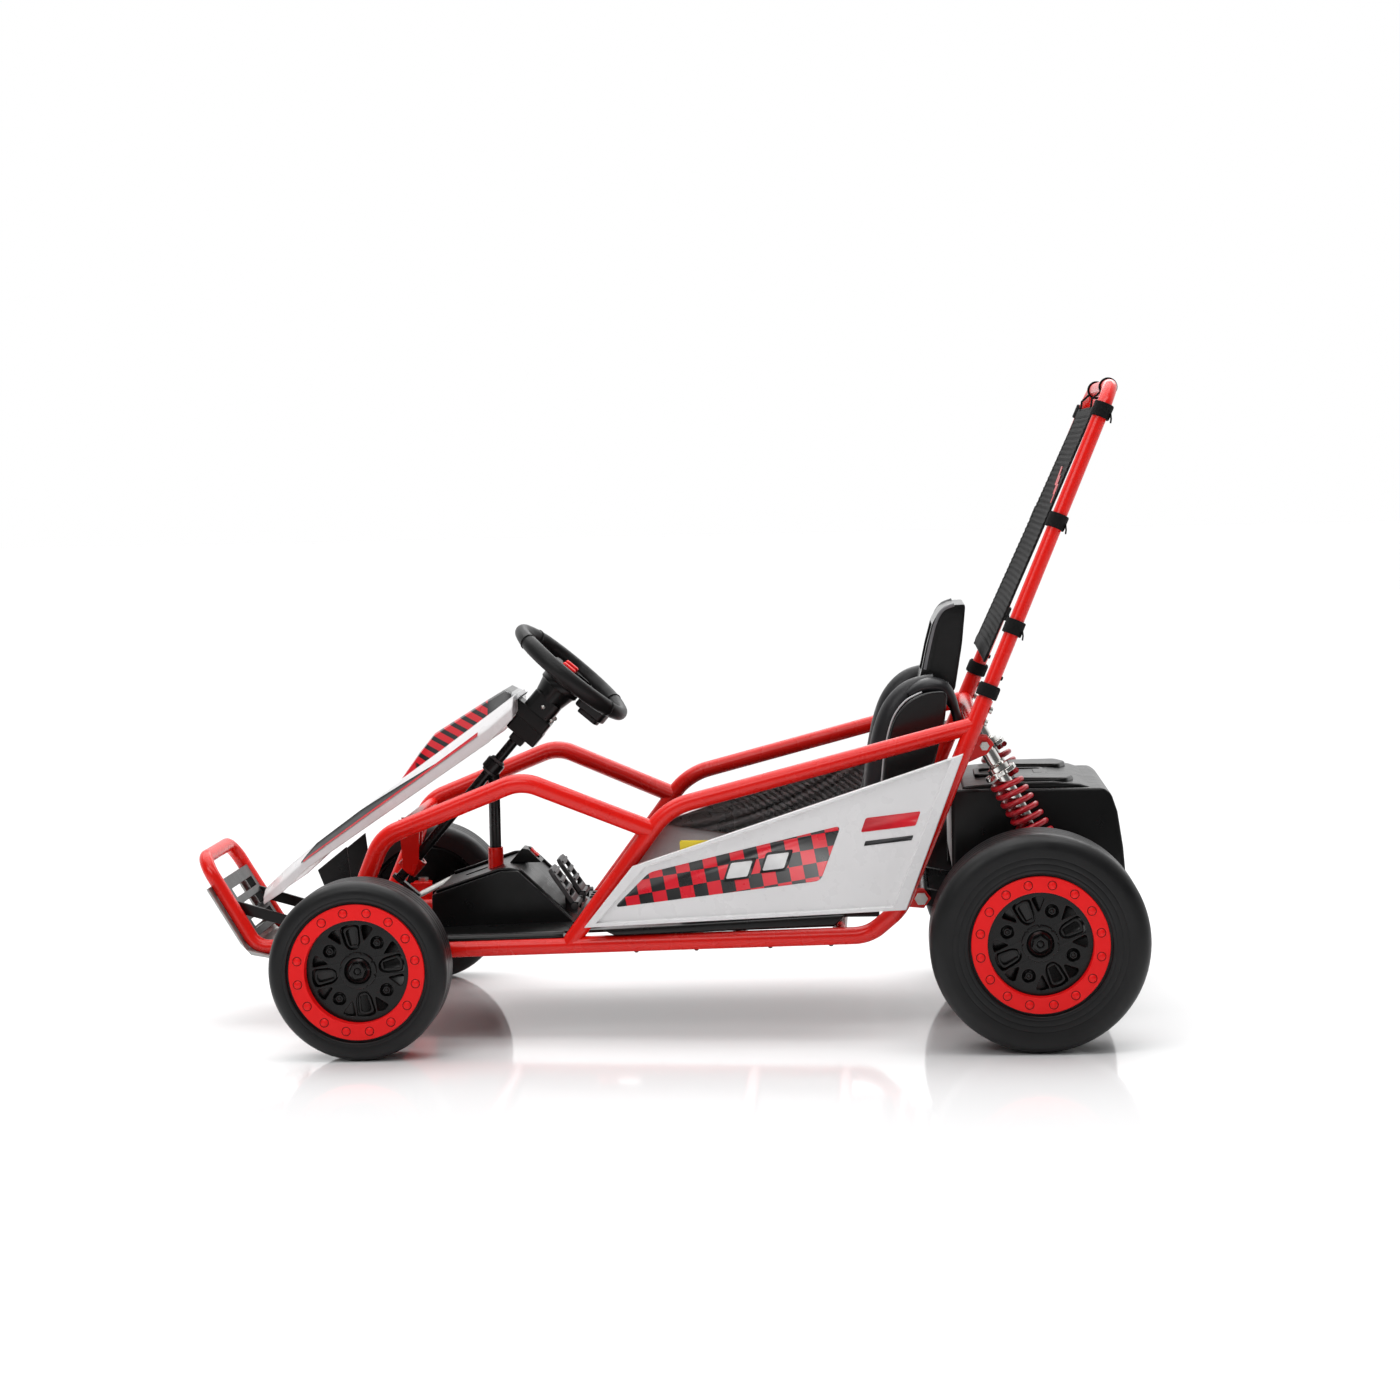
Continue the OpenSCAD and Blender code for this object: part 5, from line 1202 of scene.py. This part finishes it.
def make_tail():
    """The housing over the motor: a deep box with wide soft corners and a lid with two humps."""
    low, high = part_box("tail_housing")
    half = (high.y - low.y) / 2
    top = high.z
    back = high.x
    top += 0.010
    outline = [(low.x, low.z + 5 * mm), (low.x, top), (back - 0.034, top), (back - 0.022, top - 0.009),
               (back - 0.013, top - 0.036), (back - 0.005, top - 0.090), (back, low.z + 8 * mm),
               (back - 0.011, low.z), (low.x + 8 * mm, low.z)]
    shell = slab_piece("tail_shell", "frame", "black_plastic", outline, -half, half, 14 * mm,
                       ("tail_housing",))
    hollow, arch = Shape(), Shape()
    wall = 4 * mm
    inside = [(low.x + wall, low.z - 0.04), (low.x + wall, top - wall), (back - 0.038, top - wall),
              (back - 0.020, top - 0.036), (back - 0.011, top - 0.090), (back - 0.006, low.z - 0.04)]
    slab(hollow, inside, -half + wall, half - wall)
    slab(arch, circle(0.066, 48, (rear_axle_x + 0.022, rear_axle_z + 0.052)), -half - 0.02, half + 0.02)
    mouth = Shape()
    slab(mouth, [(low.x - 0.02, low.z - 0.05), (low.x + 0.02, low.z - 0.05), (low.x + 0.02, low.z + 0.042),
                 (low.x - 0.02, low.z + 0.042)], -half + 0.016, half - 0.016)
    cut(shell, hollow, arch, mouth)
    split_sharp(shell.data, 40)
    slots = Shape()
    for z in (0.240, 0.260, 0.280):
        bar = rounded_box(-85 * mm, -3 * mm, 85 * mm, 3 * mm, 2.8 * mm)
        lean = Matrix.Rotation(math.radians(90), 4, "Z") @ Matrix.Rotation(math.radians(82), 4, "X")
        slots.add(*plate(bar, [], 3 * mm, 0.8 * mm,
                         Matrix.Translation((back - 0.0085 + (0.26 - z) * 0.14, 0, z)) @ lean))
    for side in (-1, 1):
        path = [Vector((low.x + 0.012 + (back - 0.012 - low.x - 0.024) * k / 10, side * (half + 0.2 * mm),
                        0.2445))
                for k in range(6, 11)]
        slots.pipe(path, 1.1 * mm, 8)
    slots.piece("tail_ribs", "frame", "black_plastic", angle=40)
    lid_low, lid_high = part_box("tail_lid")
    lid_half = (lid_high.y - lid_low.y) / 2
    lift = lid_high.z
    lid = [(lid_low.x, lid_low.z), (lid_low.x + 0.004, lift - 0.006), (lid_low.x + 0.060, lift - 0.001),
           (lid_high.x - 0.060, lift), (lid_high.x - 0.020, lift - 0.004), (lid_high.x, lid_low.z + 0.008)]
    slab_piece("tail_lid_shell", "frame", "black_plastic", lid, -lid_half, lid_half, 6 * mm, ("tail_lid",))
    humps = Shape()
    for y in (-lid_half + 0.052, lid_half - 0.052):
        pad = rounded([(-0.046, -0.034), (0.034, -0.044), (0.048, 0), (0.034, 0.044), (-0.046, 0.034)],
                      12 * mm)
        humps.add(*plate(pad, [], 12 * mm, 4.5 * mm,
                         Matrix.Translation((lid_high.x - 0.074, y, lift + 5 * mm))))
    tray = rounded_box(-0.06, -0.05, 0.05, 0.05, 10 * mm)
    hole = [(x * 0.86, y * 0.84) for x, y in tray]
    humps.add(*plate(tray, [hole], 6 * mm, 2 * mm,
                     Matrix.Translation((lid_low.x + 0.085, 0, lift + 1.5 * mm))))
    grip = rounded_box(-0.012, -0.03, 0.012, 0.03, 5 * mm)
    humps.add(*plate(grip, [], 6 * mm, 2 * mm, Matrix.Translation((lid_high.x - 0.072, 0, lift + 1 * mm))))
    humps.piece("tail_lid_humps", "frame", "black_plastic", angle=50)


# ---- seat ----
def seat_outline(points, seat):
    return [(seat.x + x, seat.z + z) for x, z in points]


def make_seat():
    """A moulded shell with side wings, a headrest, wrapped bolsters and two sewn cushions."""
    low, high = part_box("seat_shell")
    half = (high.y - low.y) / 2
    root = Vector((rear_axle_x - 0.232, 0, low.z))
    wing = [(-0.200, 0.002), (-0.202, 0.014), (-0.090, 0.018), (-0.022, 0.036), (0.004, 0.080),
            (0.010, 0.129),
            (0.015, 0.175), (0.027, 0.222), (0.047, 0.249), (0.074, 0.263), (0.110, 0.266), (0.104, 0.215),
            (0.070, 0.090), (0.040, 0.0)]
    for side, word in ((-1, "left"), (1, "right")):
        inner, outer = side * (half - 0.034), side * half
        shape = Shape()
        slab(shape, seat_outline(rounded(wing, 0.014), root), min(inner, outer), max(inner, outer))
        wing_piece = shape.piece(f"seat_wing_{word}", "frame", "seat_plastic", ("seat_shell",), 11 * mm, 40)
        split_sharp(wing_piece.data, 60)
        # The padded bolster stands in front of the wing, with light piping where they meet
        edge = [(-0.194, 0.008), (-0.120, 0.010), (-0.060, 0.022), (-0.016, 0.056), (0.004, 0.100),
                (0.012, 0.150),
                (0.023, 0.204), (0.036, 0.238), (0.058, 0.262), (0.092, 0.274)]
        path = smooth_path([root + Vector((x, side * (half - 0.044), z)) for x, z in edge], 60)
        pad = Shape()
        pad.pipe(path, lambda t: (0.009 + 0.018 * max(0.0, math.sin(math.pi * (0.02 + 0.90 * t))) ** 0.9),
                 24,
                 up=Vector((0, 1, 0)), squash=0.90)
        bolster = pad.piece(f"seat_bolster_{word}", "frame", "seat_padding", ("seat_pads",), angle=70)
        line = [(0.0035, 0.086), (0.0095, 0.129), (0.0150, 0.175), (0.0270, 0.221), (0.0465, 0.2485),
                (0.072, 0.262)]
        cord = Shape()
        cord.pipe(smooth_path([root + Vector((x - 1 * mm, side * (half - 0.010), z + 1 * mm)) for x,
                               z in line], 40),
                  1.5 * mm, 10)
        cord.piece(f"seat_piping_{word}", "frame", "seat_padding", material=piping_material, angle=70)
        roll = smooth_path([root + Vector((x, side * y, z)) for x, y, z in (
            (0.052, half - 0.034, 0.258), (0.076, half - 0.030, 0.270), (0.100, half - 0.028, 0.268),
            (0.116, half - 0.028, 0.246), (0.126, half - 0.030, 0.212))], 24)
        flap = Shape()
        flap.pipe(roll, lambda t: 0.007 + 0.006 * math.sin(math.pi * min(1, t * 1.15 + 0.05)), 20,
                  up=Vector((0, 1, 0)), squash=1.5)
        flap.piece(f"seat_top_roll_{word}", "frame", "seat_padding", angle=70)
    shell = Shape()
    backrest = [(-0.200, 0.0), (0.020, 0.0), (0.062, 0.066), (0.112, 0.278), (0.082, 0.278), (0.030, 0.082),
                (-0.008, 0.030), (-0.040, 0.012), (-0.196, 0.012)]
    slab(shell, seat_outline(backrest, root), -half + 0.020, half - 0.020)
    shell.piece("seat_back_shell", "frame", "seat_plastic", bevel=4 * mm, angle=30)
    make_headrest(root)
    make_cushions(root)


def make_headrest(root):
    """A boxy headrest with a rounded border round each recessed side and its front."""
    side_view = [(0.064, 0.262), (0.072, 0.292), (0.079, 0.325), (0.089, 0.362), (0.101, 0.382),
                 (0.118, 0.3895),
                 (0.139, 0.3905), (0.1395, 0.384), (0.134, 0.330), (0.122, 0.258)]
    outline = seat_outline(side_view, root)
    block = slab_piece("headrest_shell", "frame", "seat_plastic", rounded(outline, 6 * mm, 3), -0.082,
                       0.082,
                       6 * mm, angle=35)
    centre = Vector((sum(p[0] for p in outline) / len(outline), sum(p[1] for p in outline) / len(outline)))
    inset = [tuple(centre + (Vector(p) - centre) * 0.66) for p in outline]
    cutters = []
    for side in (-1, 1):
        shape = Shape()
        slab(shape, rounded([(x + 5 * mm, z) for x, z in inset], 6 * mm),
             *sorted((side * 0.0795, side * 0.09)))
        cutters.append(shape)
    face = Shape()
    slab(face, [(root.x + 0.060, root.z + 0.286), (root.x + 0.0835, root.z + 0.286),
                (root.x + 0.0975, root.z + 0.356),
                (root.x + 0.060, root.z + 0.372)], -0.064, 0.064)
    cutters.append(face)
    cut(block, *cutters)
    split_sharp(block.data, 40)
    border = Shape()
    front_edge = [(x + 5 * mm, z) for x, z in outline[1:6]]
    for side in (-1, 1):
        border.pipe(smooth_path([Vector((x, side * 0.0805, z)) for x, z in front_edge], 24), 3.4 * mm, 14,
                    up=Vector((0, 1, 0)), squash=0.6)
    # The border is raised geometry; its lighter grey colour is a painted highlight.
    border.piece("headrest_border", "frame", "seat_plastic", angle=70, material=border_sheen_grey)


def smooth_path(points, count):
    """A smooth line through the points."""
    out = []
    for k in range(count):
        t = (len(points) - 1) * k / (count - 1)
        i = min(int(t), len(points) - 2)
        u = t - i
        p0, p1 = points[max(i - 1, 0)], points[i]
        p2, p3 = points[i + 1], points[min(i + 2, len(points) - 1)]
        out.append(0.5 * (2 * p1 + (p2 - p0) * u + (2 * p0 - 5 * p1 + 4 * p2 - p3) * u * u
                          + (3 * p1 - p0 - 3 * p2 + p3) * u ** 3))
    return out


def cushion(name, corner, along, across, normal, length, width, thick, channels):
    """A crowned pad with sides that pull in, sewn channels and a seam round its edge."""
    shape = Shape()
    rows, columns = 54, 40

    def height(u, v):
        edge = (1 - abs(2 * u - 1) ** 5) * (1 - abs(2 * v - 1) ** 5)
        crown = thick * (0.42 + 0.58 * edge ** 0.45)
        seam = min(abs(u - c) for c in channels) * length
        crown -= 0.0048 * math.exp(-(seam / 0.0042) ** 2)
        crown += 0.0008 * math.sin(u * 37 + v * 21) * math.sin(v * 29 - u * 11)
        return crown

    def spot(u, v, h):
        waist = 0.012 * (1 - (2 * u - 1) ** 2)
        pull = 0.010 * (1 - (2 * v - 1) ** 2)
        x = (u - 0.5) * (length - pull) + 0.5 * length
        y = (v - 0.5) * (width - waist)
        return corner + along * x + across * y + normal * h
    top = [spot(i / rows, k / columns, height(i / rows, k / columns))
           for i in range(rows + 1) for k in range(columns + 1)]
    base = [spot(i / rows, k / columns, 0.0) for i in range(rows + 1) for k in range(columns + 1)]
    n = (rows + 1) * (columns + 1)
    faces = []
    for i in range(rows):
        for k in range(columns):
            a = i * (columns + 1) + k
            b = a + columns + 1
            faces += [[a, b, b + 1, a + 1], [n + a, n + a + 1, n + b + 1, n + b]]
    rim_line = ([i * (columns + 1) for i in range(rows)] + [rows * (columns + 1) + k for k in range(columns)]
                + [i * (columns + 1) + columns for i in range(rows, 0, -1)] + list(range(columns, 0, -1)))
    faces += [[a, n + a, n + b, b] for a, b in zip(rim_line, rim_line[1:] + rim_line[:1])]
    shape.add(top + base, faces)
    piece = shape.piece(name, "frame", "seat_padding", ("seat_pads",), angle=75)
    border = Shape()
    border.pipe([top[i] + normal * -0.001 for i in rim_line], 1.5 * mm, 8, closed=True, up=normal)
    border.piece(name + "_piping", "frame", "seat_padding", material=piping_material, angle=75)


def make_cushions(root):
    low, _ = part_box("seat_pads")
    cushion("seat_cushion", Vector((low.x + 0.002, 0, root.z + 0.0090)), Vector((1, 0, 0)), Vector((0, 1, 0)),
            Vector((0, 0, 1)), 0.170, 0.252, 0.016, (0.25, 0.5, 0.75))
    start = root + Vector((0.004, 0, 0.036))
    end = root + Vector((0.082, 0, 0.268))
    along = (end - start).normalized()
    cushion("back_cushion", start, along, Vector((0, 1, 0)), Vector((-along.z, 0, along.x)),
            (end - start).length, 0.250, 0.026, (0.2, 0.4, 0.6, 0.8))


# ---- net ----
def make_net():
    """Ribbed net between the hoop's legs, with a webbing border, printed red stripes and two hanging loops."""
    low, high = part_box("net")
    bottom, top = low.z, high.z
    back = Vector((math.cos(hoop_lean), 0, -math.sin(hoop_lean)))
    ribs = 46
    rows, columns = ribs * 6, 26
    shape = Shape()

    def spot(v, u, lift):
        z = bottom + (top - bottom) * v
        p = leg(z)
        reach = p.y - 0.0175 - 0.015 * v
        sag = 0.007 * (1 - u * u) * math.sin(math.pi * v) - 0.010 - 0.010 * (1 - v)
        return Vector((p.x, u * reach, z)) + back * (sag + lift)

    def rib(v):
        return 0.75 * mm * math.sin(2 * math.pi * ribs * v)
    front = [spot(i / rows, 2 * k / columns - 1, rib(i / rows) - 1.1 * mm)
             for i in range(rows + 1) for k in range(columns + 1)]
    rear = [spot(i / rows, 2 * k / columns - 1, rib(i / rows) + 1.1 * mm)
            for i in range(rows + 1) for k in range(columns + 1)]
    n = (rows + 1) * (columns + 1)
    faces = []
    for i in range(rows):
        for k in range(columns):
            a = i * (columns + 1) + k
            b = a + columns + 1
            faces += [[a, b, b + 1, a + 1], [n + a, n + a + 1, n + b + 1, n + b]]
    rim_line = ([i * (columns + 1) for i in range(rows)] + [rows * (columns + 1) + k for k in range(columns)]
                + [i * (columns + 1) + columns for i in range(rows, 0, -1)] + list(range(columns, 0, -1)))
    faces += [[a, n + a, n + b, b] for a, b in zip(rim_line, rim_line[1:] + rim_line[:1])]
    shape.add(front + rear, faces)
    net = shape.piece("net_cloth", "frame", "net_fabric", ("net",), angle=80)
    border = Shape()
    for side in (-1, 1):
        border.pipe([spot(k / 40, side * 0.955, 0) for k in range(41)], 9 * mm, 12, squash=0.24, up=back)
    for v, wide in ((0.0, 9 * mm), (1.0, 8 * mm)):
        border.pipe([spot(v + (0.022 if v == 0 else -0.022), 2 * k / 24 - 1, 0) for k in range(25)],
                    wide, 12, squash=0.26, up=back)
    hem = border.piece("net_border", "frame", "net_fabric", material=webbing, angle=70)
    stripe = Shape()
    for i in range(3):
        v, u = 0.62 + 0.035 * i, -0.50 + 0.22 * i
        corners = [spot(v, u, -2.6 * mm), spot(v, u + 0.14, -2.6 * mm), spot(v + 0.075, u + 0.24, -2.6 * mm),
                   spot(v + 0.075, u + 0.10, -2.6 * mm)]
        far = [p + back * 0.6 * mm for p in corners]
        stripe.add(corners + far, [[0, 1, 2, 3], [7, 6, 5, 4], [0, 4, 5, 1],
                                   [1, 5, 6, 2], [2, 6, 7, 3], [3, 7, 4, 0]])
    printed = stripe.piece("net_red_stripes", "frame", "net_fabric", material=red_ink, angle=30)
    loops = Shape()
    for y in (-0.125, 0.125):
        ring = []
        for k in range(28):
            a = 2 * math.pi * k / 28
            ring.append(Vector((hoop_top.x + 12.6 * mm * math.cos(a), y + 2 * mm * math.sin(2 * a),
                                hoop_top.z + 12.6 * mm * math.sin(a))))
        loops.pipe(ring, 1.7 * mm, 8, closed=True, up=Vector((0, 1, 0)))
        tail = [Vector((hoop_top.x, y, hoop_top.z)) + Vector((-0.012, 0, -0.008)),
                spot(1.0, y / 0.19, 0) + Vector((0, 0, 0.012)), spot(0.985, y / 0.19, 0)]
        loops.pipe(tail, 1.7 * mm, 8, up=Vector((0, 1, 0)))
    loops.piece("net_loops", "frame", "net_fabric", material=webbing, angle=70)


def make_straps():
    """Hook and loop bands round the hoop's legs, each with a free tail."""
    shape = Shape()
    for side in (-1, 1):
        for z in (0.606, 0.760, hoop_top.z - 0.036):
            a = leg(z, side)
            along = (leg(z + 0.05, side) - a).normalized()
            shape.lathe(band_line(11.6, 14.9, 11, 0.7, 1.5), aimed(a, along), 48)
            path = [a + Vector((0.0125, side * 0.004, -0.006)), a + Vector((0.0130, side * 0.004, -0.013)),
                    a + Vector((0.0120, side * 0.004, -0.019))]
            shape.pipe(path, lambda t: 7.5 * mm, 12, squash=0.16, up=Vector((1, 0, 0)))
            inward = a + Vector((-0.002, -side * 0.026, 0.0))
            shape.pipe([a + Vector((-0.002, -side * 0.012, 0)), inward], 9.5 * mm, 12, squash=0.2,
                       up=Vector((math.cos(hoop_lean), 0, -math.sin(hoop_lean))))
        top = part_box("hoop_sleeves")[1].z
        a = leg(top + 6 * mm, side)
        along = (leg(top + 0.05, side) - a).normalized()
        collar = [(11.3 * mm, -10 * mm), (15.6 * mm, -10 * mm), (16.4 * mm, -8 * mm), (16.4 * mm, 7 * mm),
                  (15 * mm, 9.5 * mm), (11.3 * mm, 9.5 * mm)]
        shape.lathe(collar, aimed(a, along), 48)
    shape.piece("net_strap_bands", "frame", "net_fabric", ("net_straps",), angle=50, material=webbing)


webbing = woven("webbing", 0.006, 0.0016, 0.0)


# ---- shock absorbers, chain and other mechanical pieces ----
def make_springs():
    top = Vector(joints["shock_swing"]["pos_m"])
    down = Vector(joints["shock_travel"]["axis"]).normalized()
    start, end = 56.5 * mm, 177.5 * mm
    radius, wire, turns = 21.4 * mm, 4.3 * mm, 8.4
    for side, word in ((-1, "left"), (1, "right")):
        low, high = side_points("coil_springs", side)
        middle = Vector((top.x, (low.y + high.y) / 2, top.z))
        across = down.cross(Vector((0, 1, 0))).normalized()
        path = []
        count = 420
        for k in range(count + 1):
            t = k / count
            a = 2 * math.pi * turns * t
            path.append(middle + down * (start + (end - start) * t)
                        + radius * (math.cos(a) * across + math.sin(a) * Vector((0, 1, 0))))
        shape = Shape()
        shape.pipe(path, wire, 12, up=down)
        spring = shape.piece(f"coil_spring_{word}", "shock_bodies", "red_frame", ("coil_springs",), angle=80,
                             material=spring_coat)
        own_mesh(spring)
        fittings = Shape()
        turn = (-down).to_track_quat("Z", "Y").to_matrix().to_4x4()
        place = Matrix.Translation(middle) @ turn
        thread = []
        for k in range(9):
            z = -46 * mm + k * 1.5 * mm
            thread += [(10.9 * mm, z), (11.6 * mm, z + 0.75 * mm)]
        fittings.lathe([(9 * mm, -46.5 * mm), *thread, (9 * mm, -32 * mm)], place, 48)
        notched = []
        for k in range(10):
            tooth = [(24.2 * mm, -5.2 * mm), (24.6 * mm, 0), (24.2 * mm, 5.2 * mm), (21 * mm, 6.2 * mm)]
            notched += turned(tooth, 36 * k)
        fittings.add(*plate(notched, [], 7 * mm, 1 * mm, place @ Matrix.Translation((0, 0, -44.6 * mm))))
        fittings.piece(f"spring_adjuster_{word}", "shock_bodies", "shock_chrome", angle=40)


def link_outline(length):
    """A chain plate's figure of eight."""
    r = 2.9 * mm
    return (arcs(-length / 2, r, 90, 270) + [(0, -1.9 * mm)] + arcs(length / 2, r, -90, 90) + [(0, 1.9 * mm)])


def arcs(x, r, start, end, steps=8):
    return [(x + r * math.cos(math.radians(start + (end - start) * k / steps)),
             r * math.sin(math.radians(start + (end - start) * k / steps))) for k in range(steps + 1)]


def make_chain():
    """A link and roller chain round both sprockets."""
    big = Vector((rear_axle_x, rear_axle_z))
    motor = joints["motor_spin"]["pos_m"]
    small = Vector((motor[0], motor[2]))
    pitch = 6.35 * mm
    big_r, small_r = 44 * pitch / (2 * math.pi), 11 * pitch / (2 * math.pi)
    gap = small - big
    heading = math.atan2(gap.y, gap.x)
    lean = math.acos((big_r - small_r) / gap.length)
    route = []
    for k in range(61):
        a = heading + lean + (2 * math.pi - 2 * lean) * k / 60
        route.append(big + big_r * Vector((math.cos(a), math.sin(a))))
    for k in range(25):
        a = heading - lean + 2 * lean * k / 24
        route.append(small + small_r * Vector((math.cos(a), math.sin(a))))
    route.append(route[0])
    total = sum((b - a).length for a, b in zip(route, route[1:]))
    count = round(total / pitch / 2) * 2
    spots, step, walked, i = [], total / count, 0.0, 0
    for k in range(count):
        while walked + (route[i + 1] - route[i]).length < k * step - 1e-9:
            walked += (route[i + 1] - route[i]).length
            i += 1
        share = (k * step - walked) / max((route[i + 1] - route[i]).length, 1e-9)
        spots.append(route[i].lerp(route[i + 1], share))
    shape = Shape()
    outline = link_outline(pitch)
    for k in range(count):
        a, b = spots[k], spots[(k + 1) % count]
        middle, way = (a + b) / 2, (b - a).normalized()
        wide = 3.4 * mm if k % 2 else 2.5 * mm
        for s in (-1, 1):
            place = Matrix(((way.x, -way.y, 0, middle.x), (0, 0, -1, motor[1] + s * wide + 0.4 * mm),
                            (way.y, way.x, 0, middle.y), (0, 0, 0, 1)))
            shape.prism(outline, 0, 0.8 * mm, place)
        place = Matrix(((1, 0, 0, a.x), (0, 0, -1, motor[1] + 3.9 * mm), (0, 1, 0, a.y), (0, 0, 0, 1)))
        shape.lathe([(0, 0), (1.2 * mm, 0), (1.2 * mm, 7.8 * mm), (0, 7.8 * mm)], place, 10, closed=False)
        place = Matrix(((1, 0, 0, a.x), (0, 0, -1, motor[1] + 1.6 * mm), (0, 1, 0, a.y), (0, 0, 0, 1)))
        shape.lathe([(1.2 * mm, 0), (2 * mm, 0), (2 * mm, 3.2 * mm), (1.2 * mm, 3.2 * mm)], place, 12)
    shape.piece("roller_chain", "swing_arm", "drive_steel", ("drive_chain",), angle=40)


def soften_plain_nodes():
    """Small radii on the moulded and bent pieces whose CAD shape is right."""
    frame_body = {"fairing_bracket": 1.0, "bumper_insert": 2.2, "skid_plate": 1.2, "sill_covers": 4.0,
                  "switch_pod": 2.5, "battery_box": 4.0, "front_beam": 1.2}
    for node, radius in frame_body.items():
        soften(node, "frame", radius * mm)
    soften("direction_rocker", "direction_rocker", 0.6 * mm)
    soften("swing_arm", "swing_arm", 1.2 * mm)


def dress_nodes():
    """Gives every CAD node that is still shown its slot's material."""
    for name, obj in nodes.items():
        obj.data.materials.clear()
        obj.data.materials.append(materials[slot_of[name]])


make_camera()
make_studio()
dress_nodes()
make_wheels()
make_steering_wheel()
make_hub()
make_column_mounts()
make_pedals()
make_small_fittings()
make_side_panels()
make_nose()
make_floor()
make_footrest()
make_tail()
make_seat()
make_net()
make_straps()
make_springs()
make_chain()
soften_plain_nodes()
